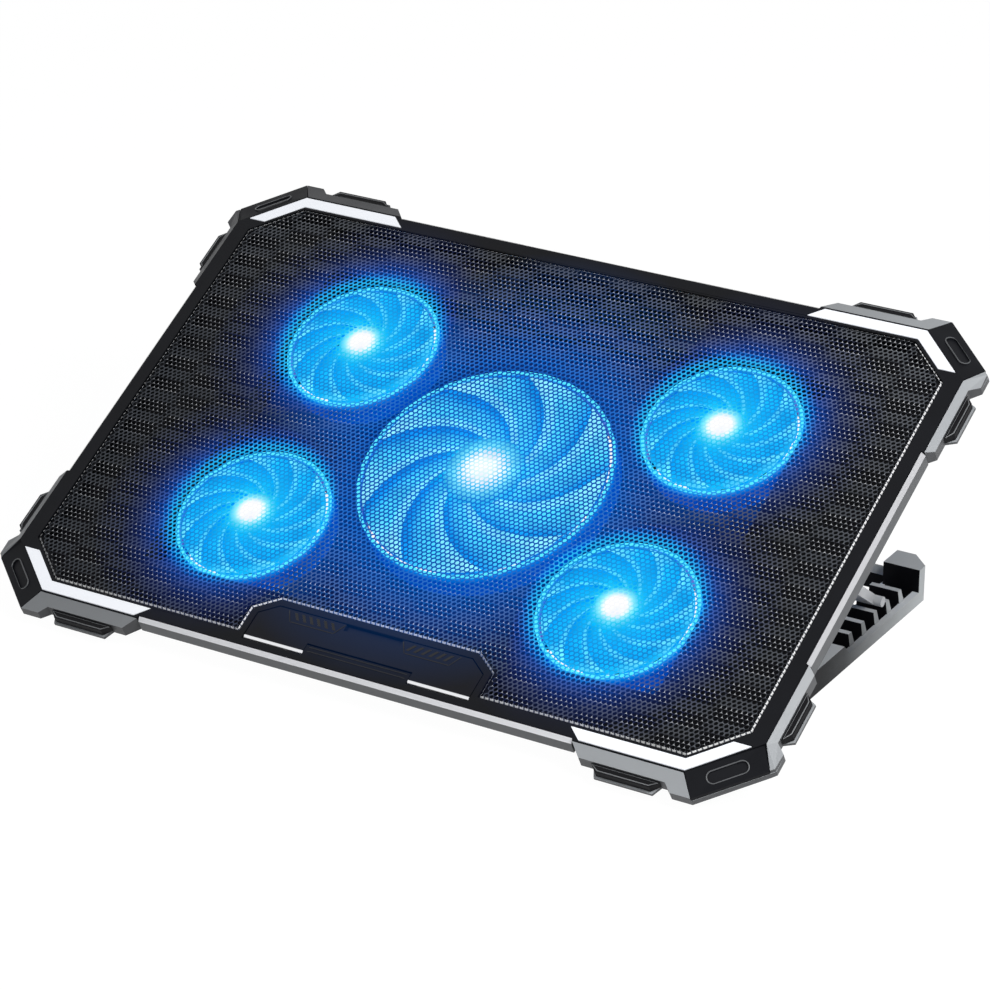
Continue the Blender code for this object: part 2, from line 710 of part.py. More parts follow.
def make_guards():
    top = -TOE_DROP - FLANGE_STEP - FLANGE_THICK - FIT
    for name, signs in CORNERS.items():
        guard = to_pad(prism(f"corner_guard_{name}", guard_base_outline(signs), -PAD_DEPTH, top, GREY))
        join(guard, *guard_caps(name, signs))
        for side, length in (("long", TAB_LENGTH), ("short", SIDE_TAB_LENGTH)):
            lip = [(u, v if v > 0 else -SLOPE_DROP) for u, v in tab_outline(length / 2, TAB_OUT, TAB_SLANT)]
            lip_top = -PAD_DEPTH + TAB_LIP
            join(guard, to_pad(prism("lip", place_tab(lip, signs, side), -PAD_DEPTH, lip_top)))
            pad_shape = tab_outline(length / 2 - TAB_RIM, TAB_OUT - TAB_RIM, TAB_SLANT)
            pad_shape = [(u, v if v > 0 else FIT) for u, v in pad_shape]
            placed = place_tab(pad_shape, signs, side)
            to_pad(prism(f"tab_{side}_{name}", placed, lip_top + FIT, -TAB_TOP, BLACK))


def rail_section(face, sign):
    """Trim rail profile: bright top bevel, plain face and a step under the top frame."""
    inner, lip = face - SHELL_INSET + FIT, face - RAIL_SETBACK + FIT
    points = [
        (lip, -FIT), (face + RAIL_OUT - FIT, -FIT - RAIL_BEVEL), (face + RAIL_OUT, -PAD_DEPTH),
        (inner, -PAD_DEPTH), (inner, SHELL_TOP), (lip, SHELL_TOP),
    ]
    return [(sign * across, height) for across, height in points]


def make_rails():
    end_x = GUARD_REACH_X - 2 * FIT
    end_y = GUARD_REACH_Y - 2 * FIT
    for name, sign in (("front", -1), ("rear", 1)):
        rows = [[(x, y, z) for y, z in rail_section(PAD_HALF_Y, sign)] for x in (-end_x, end_x)]
        rail = to_pad(loft(f"trim_rail_{name}", rows, GREY))
        if name == "rear":
            low = (-PORT_HALF, PAD_HALF_Y + RAIL_OUT - PORT_RECESS, -REACH)
            cut(rail, to_pad(box("port_recess", low, (PORT_HALF, PAD_HALF_Y + REACH, REACH))))
    for name, sign in SIDES.items():
        rows = [[(x, y, z) for x, z in rail_section(PAD_HALF_X, sign)] for y in (-end_y, end_y)]
        to_pad(loft(f"trim_rail_{name}", rows, GREY))


def fan_sizes(index):
    """Rotor radius, hub radius and blade count of a fan."""
    if index == 0:
        return LARGE_RADIUS, LARGE_HUB, LARGE_BLADES
    return SMALL_RADIUS, SMALL_HUB, SMALL_BLADES


def vent_tools(shell, index, place):
    """Cuts a fan's air inlet and puts back the spider and ring that carry its motor."""
    x, y = place
    radius, hub, blades = fan_sizes(index)
    low, high = -BELLY_DEPTH, BELLY_FLOOR
    middle = (low + high) / 2
    opening = rod("vent", radius + SHROUD_GAP, (x, y, low - 1), (x, y, high + 1), sides=ROUND)
    cut(shell, to_pad(opening))
    join(shell, to_pad(rod("motor_seat", hub, (x, y, low), (x, y, high), sides=ROUND)))
    for step in range(SPOKE_COUNT):
        angle = math.tau * step / SPOKE_COUNT + math.pi / 2
        half = SPOKE_WIDTH / 2
        spoke = box("spoke", (0, -half, low), (radius + SHROUD_GAP + BELLY_WALL, half, high))
        spoke.data.transform(Matrix.Rotation(angle, 4, "Z"))
        join(shell, to_pad(spoke, (x, y, 0)))
    across = (radius + hub) / 2
    inner, outer = across - GRILLE_RING_WIDTH / 2, across + GRILLE_RING_WIDTH / 2
    under, over = middle - BELLY_WALL / 4, middle + BELLY_WALL / 4
    profile = [(inner, under), (outer, under), (outer, over), (inner, over)]
    ring = turned("grille_ring", profile, DARK_GREY, ring=True)
    join(shell, to_pad(ring, (x, y, 0)))


def hinge_ear(name, sign):
    """Ear under the pad that carries one end of the stand's hinge pin."""
    outer = STAND_HALF - RAIL_WIDTH - 2 * FIT
    xs = sorted((sign * (outer - EAR_THICK), sign * outer))
    axis = (HINGE_Y, HINGE_Z)
    eye = rod(f"ear_{name}", KNUCKLE_RADIUS, (xs[0], *axis), (xs[1], *axis), sides=ROUND)
    low = (xs[0], HINGE_Y - KNUCKLE_RADIUS, HINGE_Z)
    high = (xs[1], HINGE_Y + KNUCKLE_RADIUS, -PAD_DEPTH + SHELL_FLOOR / 2)
    return to_pad(eye), to_pad(box(f"ear_web_{name}", low, high))


def leg_lugs(name, sign):
    """Two lugs under the pad that hold a folding leg's pin."""
    made = []
    for offset in (-1, 1):
        near = LEG_WIDTH / 2 + FIT + 0.1
        xs = sorted(sign * LEG_X + offset * reach for reach in (near, near + LUG_THICK))
        low = (xs[0], LEG_Y - LUG_HALF, LEG_Z - LUG_HALF)
        high = (xs[1], LEG_Y + LUG_HALF, -PAD_DEPTH + SHELL_FLOOR / 2)
        made.append(to_pad(box(f"lug_{name}", low, high)))
    return made


def make_lower_shell():
    shell = to_pad(prism("lower_shell", SHELL_OUTLINE, -PAD_DEPTH, SHELL_TOP, DARK_GREY))
    tray_room = stopper_outline(TRAY_BORDER)
    cut(
        shell,
        to_pad(prism("shell_inside", inset(SHELL_OUTLINE, SHELL_WALL), FLOOR_TOP, REACH)),
        to_pad(prism("tray_room", tray_room, TRAY_LOW - FIT / 2, REACH)),
    )
    belly_low = (-BELLY_HALF_X, -BELLY_HALF_Y, -BELLY_DEPTH)
    belly_high = (BELLY_HALF_X, BELLY_HALF_Y, (FLOOR_TOP - PAD_DEPTH) / 2)
    join(shell, to_pad(box("belly", belly_low, belly_high)))
    port_low = (-PORT_HALF, BELLY_HALF_Y - BELLY_WALL - 1, -PORT_DEPTH)
    port_high = (PORT_HALF, PORT_FACE - FIT / 2, (FLOOR_TOP - PAD_DEPTH) / 2)
    join(shell, to_pad(box("port_housing", port_low, port_high)))
    inside_low = (-BELLY_HALF_X + BELLY_WALL, -BELLY_HALF_Y + BELLY_WALL, BELLY_FLOOR)
    inside_high = (BELLY_HALF_X - BELLY_WALL, BELLY_HALF_Y - BELLY_WALL, REACH)
    cut(shell, to_pad(box("belly_inside", inside_low, inside_high)))
    room_low = (-PORT_HALF + BELLY_WALL, BELLY_HALF_Y - 2 * BELLY_WALL, PORT_FLOOR)
    room_high = (PORT_HALF - BELLY_WALL, PORT_FACE - BELLY_WALL, REACH)
    cut(shell, to_pad(box("port_inside", room_low, room_high)))
    for index, place in enumerate(FAN_PLACES):
        vent_tools(shell, index, place)
    for name, sign in SIDES.items():
        join(shell, *hinge_ear(name, sign), *leg_lugs(name, sign))
        bore = HINGE_PIN_RADIUS + BORE_FIT
        start, end = (sign * BELLY_HALF_X, HINGE_Y, HINGE_Z), (sign * STAND_HALF, HINGE_Y, HINGE_Z)
        cut(shell, to_pad(rod(f"hinge_bore_{name}", bore, start, end)))
        reach = LEG_WIDTH / 2 + LUG_THICK + 1
        start = (sign * LEG_X - reach, LEG_Y, LEG_Z)
        end = (sign * LEG_X + reach, LEG_Y, LEG_Z)
        cut(shell, to_pad(rod(f"leg_bore_{name}", LEG_PIN_RADIUS + BORE_FIT, start, end)))
    for x in USB_PLACES:
        half = USB_WIDTH / 2 + FIT
        low = (x - half, PORT_FACE - 2 * BELLY_WALL, USB_MIDDLE - USB_HEIGHT / 2 - FIT)
        high = (x + half, PORT_FACE + 1, USB_MIDDLE + USB_HEIGHT / 2 + FIT)
        cut(shell, to_pad(box("usb_window", low, high)))
    start = (BUTTON_X, PORT_FACE - 2 * BELLY_WALL, USB_MIDDLE)
    end = (BUTTON_X, PORT_FACE + 1, USB_MIDDLE)
    hole = rod("button_hole", BUTTON_RADIUS + FIT, start, end, sides=ROUND)
    cut(shell, to_pad(hole))
    return shell


def blade(name, radius, hub):
    """One swept blade: a thin plate that twists flat towards its tip."""
    rows = []
    steps = 4
    for step in range(steps + 1):
        share = step / steps
        at = hub - HUB_WALL / 2 + (radius - hub + HUB_WALL / 2) * share
        sweep = math.radians(BLADE_SWEEP) * share ** 1.4
        lead = math.radians(26 - 10 * share)
        half_height = BLADE_HEIGHT / 2 * (1 - 0.25 * share)
        row = []
        for side, level in ((-1, 1), (-1, -1), (1, -1), (1, 1)):
            angle = sweep + level * lead / 2 * hub / at * 1.6 + side * BLADE_THICK / 2 / at
            height = -BLADE_TOP - BLADE_HEIGHT / 2 + level * half_height
            row.append((at * math.cos(angle), at * math.sin(angle), height))
        rows.append(row)
    return loft(name, rows, CLEAR_BLUE)


def make_fans():
    for index, (name, (x, y)) in enumerate(zip(FAN_NAMES, FAN_PLACES)):
        radius, hub, blades = fan_sizes(index)
        bottom = -HUB_TOP - HUB_HEIGHT
        under = -HUB_TOP - HUB_WALL
        profile = [
            (0, -HUB_TOP), (hub, -HUB_TOP), (hub, bottom), (hub - HUB_WALL, bottom),
            (hub - HUB_WALL, under), (SHAFT_RADIUS, under), (SHAFT_RADIUS, bottom), (0, bottom),
        ]
        rotor = to_pad(turned(f"fan_rotor_{name}", profile, CLEAR_BLUE), (x, y, 0))
        for number in range(blades):
            one = blade(f"blade_{name}_{number}", radius, hub)
            one.data.transform(Matrix.Rotation(math.tau * number / blades, 4, "Z"))
            join(rotor, to_pad(one, (x, y, 0)))
        core, base = hub - HUB_WALL - MOTOR_GAP, hub - FIT
        bore = SHAFT_RADIUS + BORE_FIT
        floor, seat = BELLY_FLOOR + FIT, BELLY_FLOOR + FIT + MOTOR_FLANGE
        profile = [
            (bore, under - MOTOR_GAP), (core, under - MOTOR_GAP), (core, seat), (base, seat), (base, floor),
            (bore, floor),
        ]
        to_pad(turned(f"fan_motor_{name}", profile, DARK_GREY, ring=True), (x, y, 0))
        inner = radius + SHROUD_GAP
        outer = inner + SHROUD_WALL
        profile = [(inner, -SHROUD_TOP), (outer, -SHROUD_TOP), (outer, floor), (inner, floor)]
        to_pad(turned(f"fan_ring_{name}", profile, CLEAR_BLUE, ring=True), (x, y, 0))


def make_stopper():
    top = -STOP_DROP
    plate = [(x, max(y, STOP_AXIS_Y)) for x, y in stopper_outline()]
    local = [(x, y - STOP_AXIS_Y) for x, y in plate]
    low = top - STOP_THICK - STOP_AXIS_Z
    stopper = prism("stopper", local, low, top - STOP_AXIS_Z, BLACK)
    gap = (KNUCKLE_HALF + FIT, math.hypot(KNUCKLE_DEPTH - BARREL_RADIUS, BARREL_RADIUS) + FIT)
    cut(stopper, box("knuckle_gap", (-gap[0], -REACH, -REACH), (gap[0], gap[1], REACH)))
    scoop_y = STOP_DEPTH - BARREL_RADIUS - FINGER_LENGTH
    scoop_z = BARREL_RADIUS - FINGER_DROP
    cut(stopper, box("finger_scoop", (-FINGER_HALF, scoop_y, scoop_z), (FINGER_HALF, REACH, REACH)))
    for sign in SIDES.values():
        join(stopper, rod("barrel", BARREL_RADIUS, (sign * gap[0], 0, 0), (sign * STOP_HALF, 0, 0)))
    reach = REACH + STOP_HALF
    cut(stopper, rod("barrel_bore", STOP_PIN_RADIUS + BORE_FIT, (-reach, 0, 0), (reach, 0, 0)))
    for change in stopper.modifiers:
        to_pad(change.object, (0, STOP_AXIS_Y, STOP_AXIS_Z))
    to_pad(stopper, (0, STOP_AXIS_Y, STOP_AXIS_Z))
    half = STOP_HALF + STOP_PLAY + TRAY_BORDER / 2 - FIT
    axis = (STOP_AXIS_Y, STOP_AXIS_Z)
    to_pad(rod("stopper_pin", STOP_PIN_RADIUS, (-half, *axis), (half, *axis), sides=8))


def make_controls():
    board_rear = PORT_FACE - BELLY_WALL - FIT
    board_low = (-BOARD_HALF, board_rear - BOARD_LENGTH, PORT_FLOOR + FIT)
    to_pad(box("control_board", board_low, (BOARD_HALF, board_rear, BOARD_TOP), BOARD_GREEN))
    for name, x in zip(SIDES, USB_PLACES):
        rear = PORT_FACE + USB_PROUD
        low = Vector((x - USB_WIDTH / 2, rear - USB_LENGTH, USB_MIDDLE - USB_HEIGHT / 2))
        high = Vector((x + USB_WIDTH / 2, rear, USB_MIDDLE + USB_HEIGHT / 2))
        socket = to_pad(box(f"usb_socket_{name}", low, high, STEEL))
        skin = Vector((USB_SKIN, 0, USB_SKIN))
        deep = Vector((0, USB_LENGTH / 3, 0))
        cut(socket, to_pad(box("usb_mouth", low + skin + deep, high - skin + deep)))
        tongue_low = low + Vector((1.0, USB_LENGTH / 4, USB_HEIGHT - USB_SKIN * 2 - USB_TONGUE))
        tongue_high = high - Vector((1.0, 1.0, USB_SKIN * 2))
        join(socket, to_pad(box("usb_tongue", tongue_low, tongue_high)))
    inner_face = PORT_FACE - BELLY_WALL
    button = rod(
        "power_button", BUTTON_RADIUS, (BUTTON_X, inner_face - FIT - BUTTON_COLLAR / 2, USB_MIDDLE),
        (BUTTON_X, PORT_FACE + BUTTON_PROUD, USB_MIDDLE), BLACK, ROUND,
    )
    collar_end = inner_face - FIT - BUTTON_COLLAR
    collar = rod(
        "button_collar", BUTTON_RADIUS + BUTTON_COLLAR, (BUTTON_X, collar_end, USB_MIDDLE),
        (BUTTON_X, inner_face - FIT, USB_MIDDLE), BLACK, ROUND,
    )
    stem_end = (BUTTON_X, collar_end - 2 * BUTTON_TRAVEL, USB_MIDDLE)
    stem = rod("button_stem", BUTTON_RADIUS / 2, stem_end, (BUTTON_X, inner_face, USB_MIDDLE), BLACK)
    join(to_pad(button), to_pad(collar), to_pad(stem))


def along_x(name, profile, start, end, paint):
    """Side profile of (distance, height) points drawn across the stand from start to end."""
    return to_table(loft(name, [[(x, s, h) for s, h in profile] for x in (start, end)], paint))


def arm_profile():
    """Front arm of a stand rail, with its round hinge eye at the front."""
    eye = []
    for degrees in range(80, 201, 20):
        angle = math.radians(degrees)
        eye.append((HINGE_S + KNUCKLE_RADIUS * math.cos(angle), HINGE_H + KNUCKLE_RADIUS * math.sin(angle)))
    rise = ARM_TOP - SIDE_TOP
    return [
        (FRONT_BAR_START + 1, RAIL_BASE), (ARM_END + 2, RAIL_BASE), (ARM_END + 2, RAIL_FLOOR),
        (ARM_END, SIDE_TOP), (ARM_END - rise, ARM_TOP), (HINGE_S + KNUCKLE_RADIUS, ARM_TOP),
    ] + eye


def make_tooth(sign, number):
    middle = TOOTH_FIRST + number * TOOTH_PITCH
    inner = STAND_HALF - RAIL_WIDTH + INNER_WALL / 2
    outer = STAND_HALF - SIDE_WALL / 2
    rows = []
    foot = (RAIL_FLOOR - 1, TOOTH_FOOT_WIDTH, outer)
    crest = (ARM_TOP, TOOTH_TOP_WIDTH, outer - TOOTH_END_SLOPE)
    for height, width, end in (foot, crest):
        half = width / 2
        rows.append([
            (sign * inner, middle - half, height), (sign * end, middle - half, height),
            (sign * end, middle + half, height), (sign * inner, middle + half, height),
        ])
    return to_table(loft(f"tooth_{number}", rows, DARK_GREY))


def make_stand():
    inner = STAND_HALF - RAIL_WIDTH
    for name, sign in SIDES.items():
        rail = along_x(f"stand_rail_{name}", arm_profile(), sign * inner, sign * STAND_HALF, DARK_GREY)
        floor = (ARM_END - 1, STAND_END)
        walls = (
            (inner, STAND_HALF, floor, RAIL_FLOOR),
            (STAND_HALF - SIDE_WALL, STAND_HALF, (ARM_END - 8, STAND_END - BLOCK_CHAMFER - 1), SIDE_TOP),
            (inner, inner + INNER_WALL, (ARM_END - 8, STAND_END - 1), SIDE_TOP),
        )
        for near, far, (start, end), top in walls:
            xs = sorted((sign * near, sign * far))
            join(rail, to_table(box("rail_wall", (xs[0], start, RAIL_BASE), (xs[1], end, top))))
        for number in range(TEETH):
            join(rail, make_tooth(sign, number))
        plan = [
            (inner + INNER_WALL / 2, BLOCK_START), (STAND_HALF, BLOCK_START),
            (STAND_HALF, STAND_END - BLOCK_CHAMFER), (STAND_HALF - BLOCK_CHAMFER, STAND_END),
            (inner + INNER_WALL / 2, STAND_END),
        ]
        block = prism("end_block", [(sign * x, s) for x, s in plan], RAIL_BASE, BLOCK_TOP)
        join(rail, to_table(block))
        corner = [
            (STAND_HALF + 1, STAND_END - BLOCK_CHAMFER - 1), (STAND_HALF + 1, STAND_END + 1),
            (STAND_HALF - BLOCK_CHAMFER - 1, STAND_END + 1),
        ]
        cut(rail, to_table(prism("corner_cut", [(sign * x, s) for x, s in corner], 0, BLOCK_TOP + 1)))
        bore = HINGE_PIN_RADIUS + BORE_FIT
        start = (sign * (inner - 1), HINGE_S, HINGE_H)
        end = (sign * (STAND_HALF - SIDE_WALL), HINGE_S, HINGE_H)
        cut(rail, to_table(rod("rail_bore", bore, start, end)))
        pin_start = (sign * (inner - 2 * FIT - EAR_THICK + FIT), HINGE_S, HINGE_H)
        pin_end = (sign * (STAND_HALF - SIDE_WALL - FIT), HINGE_S, HINGE_H)
        to_table(rod(f"hinge_pin_{name}", HINGE_PIN_RADIUS, pin_start, pin_end))
        middle = sign * (inner + RAIL_WIDTH / 2)
        for place, s in zip(("front", "rear"), FOOT_PLACES):
            ground, top = (middle, s, 0), (middle, s, FOOT_THICK)
            roof = (middle, s, FOOT_THICK + FIT)
            cut(rail, to_table(rod("foot_pocket", FOOT_RADIUS + FIT, ground, roof, sides=ROUND)))
            to_table(rod(f"rubber_foot_{place}_{name}", FOOT_RADIUS, ground, top, RUBBER, ROUND))
    half = inner - FIT
    rear_low = (-half, STAND_END - BAR_LENGTH, RAIL_BASE)
    to_table(box("stand_bar_rear", rear_low, (half, STAND_END, BAR_TOP), DARK_GREY))
    front_low = (-half, FRONT_BAR_START, RAIL_BASE)
    front_high = (half, FRONT_BAR_START + FRONT_BAR_LENGTH, FRONT_BAR_TOP)
    to_table(box("stand_bar_front", front_low, front_high, DARK_GREY))


def make_legs():
    for name, sign in SIDES.items():
        half = LEG_WIDTH / 2
        leg = box(f"leg_{name}", (-half, 0, -LEG_HALF_THICK), (half, LEG_LENGTH, LEG_HALF_THICK), GREY)
        eye = rod("leg_eye", LEG_HALF_THICK, (-half, 0, 0), (half, 0, 0), GREY)
        reach = LEG_FOOT_LENGTH / 2
        foot = rod("leg_foot", LEG_FOOT_RADIUS, (-reach, LEG_LENGTH, 0), (reach, LEG_LENGTH, 0), GREY)
        join(leg, eye, foot)
        cut(leg, rod("leg_eye_bore", LEG_PIN_RADIUS + BORE_FIT, (-half - 1, 0, 0), (half + 1, 0, 0)))
        for piece in [leg] + [change.object for change in leg.modifiers]:
            to_pad(piece, (sign * LEG_X, LEG_Y, LEG_Z))
            piece.rotation_euler.x = LEG_ANGLE
        pin_reach = half + FIT + 0.1 + LUG_THICK - FIT
        start = (sign * LEG_X - pin_reach, LEG_Y, LEG_Z)
        end = (sign * LEG_X + pin_reach, LEG_Y, LEG_Z)
        to_pad(rod(f"leg_pin_{name}", LEG_PIN_RADIUS, start, end, sides=12))


make_lower_shell()
make_top_frame()
make_mesh_grille()
make_strips()
make_guards()
make_rails()
make_fans()
make_stopper()
make_controls()
make_stand()
make_legs()
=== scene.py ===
"""Looks of the laptop cooling pad: materials, perforated mesh, lit fans, trim details, camera and light."""

import json
import math

import bmesh
import bpy
import numpy as np
from mathutils import Matrix, Vector


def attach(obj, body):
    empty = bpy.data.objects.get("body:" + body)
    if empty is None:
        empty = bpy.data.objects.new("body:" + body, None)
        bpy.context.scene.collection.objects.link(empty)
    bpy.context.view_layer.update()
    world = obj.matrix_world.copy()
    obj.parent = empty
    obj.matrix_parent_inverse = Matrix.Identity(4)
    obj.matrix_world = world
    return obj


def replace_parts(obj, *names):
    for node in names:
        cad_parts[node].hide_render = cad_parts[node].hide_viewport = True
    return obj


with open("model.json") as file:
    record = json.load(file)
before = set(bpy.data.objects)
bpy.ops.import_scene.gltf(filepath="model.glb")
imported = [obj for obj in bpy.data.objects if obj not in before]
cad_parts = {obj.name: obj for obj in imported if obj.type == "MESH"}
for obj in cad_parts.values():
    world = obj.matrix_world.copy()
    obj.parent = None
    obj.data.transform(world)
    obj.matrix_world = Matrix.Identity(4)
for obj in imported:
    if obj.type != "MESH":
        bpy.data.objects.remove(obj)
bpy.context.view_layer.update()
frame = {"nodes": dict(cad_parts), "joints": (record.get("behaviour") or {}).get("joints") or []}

MM = 0.001

# Pad frame: x right, y to the rear, z out of the top face, origin on the top plane at the pad's middle
TILT = math.radians(28.28)
HINGE_ON_PAD = Vector((0, -110.0, -16.0))
HINGE = next(joint for joint in frame["joints"] if joint["name"] == "pad_tilt")
PAD_TURN = Matrix.Rotation(TILT, 4, "X")
PAD_TO_ROW = Matrix.Translation(HINGE["pos_m"]) @ PAD_TURN @ Matrix.Translation(-HINGE_ON_PAD * MM)

# Camera, in the pad frame
CAMERA_PLACE = Vector((844.03, -881.07, 1296.43))
CAMERA_RIGHT = Vector((0.85673427, 0.45451388, -0.24376943))
CAMERA_DOWN = Vector((0.21445902, -0.74378435, -0.63308149))
FOCAL_PIXELS = 3866.9
IMAGE_PIXELS = 990
SENSOR = 36.0
CLIP_END = 20.0

# Pad sizes, in millimetres like every length that isn't said to be in metres
HALF_X = 197.3
HALF_Y = 129.5
CUT_X = 27.3
CUT_Y = 24.0
CORNERS = {"front_left": (-1, -1), "front_right": (1, -1), "rear_left": (-1, 1), "rear_right": (1, 1)}

# Fans: x, y, radius, hub radius, blades
FAN_X = 97.5
FAN_Y = 54.3
SMALL = (35.0, 12.0, 11)
LARGE = (59.0, 20.0, 9)
FANS = {"centre": (0.0, 0.0, *LARGE)}
for corner, (sign_x, sign_y) in CORNERS.items():
    FANS[corner] = (sign_x * FAN_X, sign_y * FAN_Y, *SMALL)
RING_TOP = -8.0
RING_LIT_DEPTH = 5.0

# Rotors, with the hub's dome as shares of its radius and drops below its top
BLADE_STEPS = 12
BLADE_CHORDS = 9
BLADE_ROOT = 0.92
BLADE_HEIGHT = -9.2
BLADE_PITCH = 4.6
BLADE_THICK = 0.8
BLADE_SWEEP = math.radians(66)
BLADE_BEND = 0.8
BLADE_OVERLAP = 1.55
CHORD_SPREAD = 0.1
PITCH_WASH = 0.3
HUB_SIDES = 40
HUB_TOP = -5.5
HUB_FOOT = -18.5
HUB_DOME = ((0.55, 0.1), (0.85, 0.5), (0.97, 1.3), (1.0, 2.5))
HUB_SHADE = 0.55

# Brightness of the blades' glow, by shares across a blade and out along it, with a painted highlight on the
# leading edge and painted shade on the trailing side
EDGE_AT = 0.94
EDGE_WIDTH = 0.05
EDGE_LIFT = 0.5
BODY_START = 0.22
BODY_RISE = 0.4
BODY_LIFT = 0.75
TIP_START = 0.75
TIP_LIFT = 0.18
FLICKER_SCALE = 110
FLICKER_DETAIL = 5.0
FLICKER_NOISE = (0.35, 0.7)
FLICKER = (0.8, 1.15)

# Perforated mesh
CELL_SIDES = 6
JOIN_STEPS = 1000
HOLE_PITCH = 2.505
HOLE_RADIUS = 1.14
MESH_TOP = -0.45
MESH_WALL = 0.45
MESH_MARGIN = 8.0
EDGE_CLEAR = 0.42 * HOLE_PITCH
SKIRT_INSET = 0.4
SKIRT_LEAN = 0.7
SKIRT_WAVE = 0.4
SKIRT_TOP = -0.05
SKIRT_FOOT = -1.2
EMBOSS_HEIGHT = 0.3
EMBOSS_WIDTH = 19.7
EMBOSS_PERIOD = 13.85
EMBOSS_FLAT = (0.36, 0.5)

# Painted light on the mesh: the even grey of the lit webs, how that painted light lifts to the rear and
# right, the painted highlights and painted shade that the waves add and take, and the painted highlights on
# the folded edge
WEB_GREY = 0.5
WEB_REAR_LIFT = 0.05
WEB_REAR_SPAN = (20.0, 120.0)
WEB_RIGHT_LIFT = 0.02
WEB_RIGHT_SPAN = (60.0, 180.0)
WEB_JOINT_LIFT = 0.62
WEB_SLOPE_DROP = 0.45
WEB_FLAT_SHARE = 0.4
WEB_CREST = 0.3
SKIRT_SHADES = (0.5, 1.6)

# Stopper
STOP_HALF = 59.5
STOP_REAR_HALF = 51.0
STOP_FRONT = -HALF_Y + 5.2
STOP_DEPTH = 20.8
STOP_SIDE = 14.6
STOP_TOP = -0.2
TRAY_BORDER = 3.7
TRIM_WIDTH = 1.7
TRIM_BLUR = 0.2
LOUVRE_MIDDLE = 30.5
LOUVRE_COUNT = 6
LOUVRE_PITCH = 3.9
LOUVRE_Y = -106.4
LOUVRE_WIDTH = 1.7
LOUVRE_DEPTH = 3.8
LOUVRE_SLANT = 2.8
PANEL_HALF = 11.7
PANEL_SPREAD = 3.4
PANEL_FRONT = LOUVRE_Y - 3.5
PANEL_REAR = LOUVRE_Y + 2.3
KNUCKLE_HALF = 26.5
KNUCKLE_LINES = (2.0, 4.2)
LINE_WIDTH = 0.45
LINE_FOOT = STOP_TOP - 0.05
LINE_TOP = STOP_TOP + 0.16
BAR_TAPER = 0.9

# Corner pockets
FLANGE_REACH = (6.9, 10.6)
TOE_OUT = 9.8
SLOPE_OUT = 6.1
TOE_DROP = 3.6
POCKET_LENGTH = 18.5
POCKET_WIDTH = 5.4
POCKET_RIM = 0.3
POCKET_SINK = 0.15
POCKET_ARC = 16

# Guard tabs, with the middle and half length of each kind along its side
SIDE_SLOPE_OUT = 3.8
TAB_TOP = -3.4
TAB_REACH = 4.0
TAB_SLANT = 3.5
TAB_RIM = 0.28
TAB_RIM_INSET = 0.85
TABS = {"long": (143.75, 16.85), "short": (86.7, 13.1)}

# Stand, in metres: the part of y where its painted light rises, its low and high upper faces between which
# painted shade turns to painted light, and its ledge's height
STAND_PAINTED_LIGHT_SPAN = (-0.02, 0.12)
STAND_HEIGHTS = (0.005, 0.01)
STAND_LEDGE = 0.0073
LEDGE_BAND = (0.00048, 0.0006)

# Sockets, with the part of y where their painted shade gives way to bright steel, and edges of CAD nodes that
# are rounded for the picture
SOCKET_MOUTH = (HALF_Y - 8.0, HALF_Y - 7.0)
DISSOLVE_ANGLE = math.radians(0.5)
ROUND_ANGLE = math.radians(25)
SHARP_ANGLE = math.radians(35)

# How far faces turn to a direction, as cosines between which the masks of painted light and shade come in
FLOOR_TURN = (0.3, 0.6)
LEVEL_TURN = (0.6, 0.85)
FORWARD_TURN = (0.4, 0.8)
BEVEL_TURN = (0.9, 0.94)
CHAMFER_TURN = (0.82, 0.9)

# Colours that more than one place needs
WHITE = (1.0, 1.0, 1.0)
UNLIT = (0.0, 0.0, 0.0)
# Black painted as shade on the stand's front faces and inside the sockets
PAINTED_SHADE_BLACK = (0.004, 0.004, 0.005)
FRAME_INK = (0.0055, 0.006, 0.008)
STOPPER_INK = (0.0055, 0.006, 0.009)
SHELL_DARK = (0.03, 0.031, 0.034)
RAIL_GREY = (0.09, 0.094, 0.1)
RAIL_COOL = 1.03
GUARD_LIGHT = (0.36, 0.375, 0.39)
STAND_LIGHT = (0.36, 0.37, 0.38)
SOCKET_BRIGHT = (0.5, 0.5, 0.52)
MESH_BLACK = (0.0, 0.004, 0.012)

# Moulded grain, with its depth in metres, and the drift of a plastic's colour
BUMP_DEPTH = 0.0001
PATCH_DIVIDE = 40
NOISE_SPAN = (0.3, 0.7)
DRIFT_SCALE = 60
DRIFT = 0.15

# Where the mesh's painted light and shade come back round a fan, in fan radii, and their least share
MESH_CLEARS = (1.0, 1.5)
MESH_LEAST = 0.04

# Strength of each light that comes from a material
MESH_GLOW = 0.95
RING_GLOW = 1.0
STRIP_GLOW = 0.42
SPILL = 0.25

# Studio, in metres
LIGHTS = {
    "key": {"place": (0.8, -0.25, 0.8), "aim": (0.05, 0, 0.05), "size": (0.6, 0.5), "power": 9},
    "front_fill": {"place": (0.4, -1.6, 0.7), "aim": (0, 0, 0.05), "size": (1.4, 0.6), "power": 5},
}
SKY_COLOUR = (0.93, 0.96, 1.0)
SKY_STRENGTH = 0.2
FLOOR_HALF = 6.0
FLOOR_GREY = (0.9, 0.9, 0.9)
FLOOR_ROUGHNESS = 0.8
FLOOR_LIGHT = 1.06
FLOOR_LIGHT_SHARE = 0.92


def row(colour):
    return (*colour, 1.0)


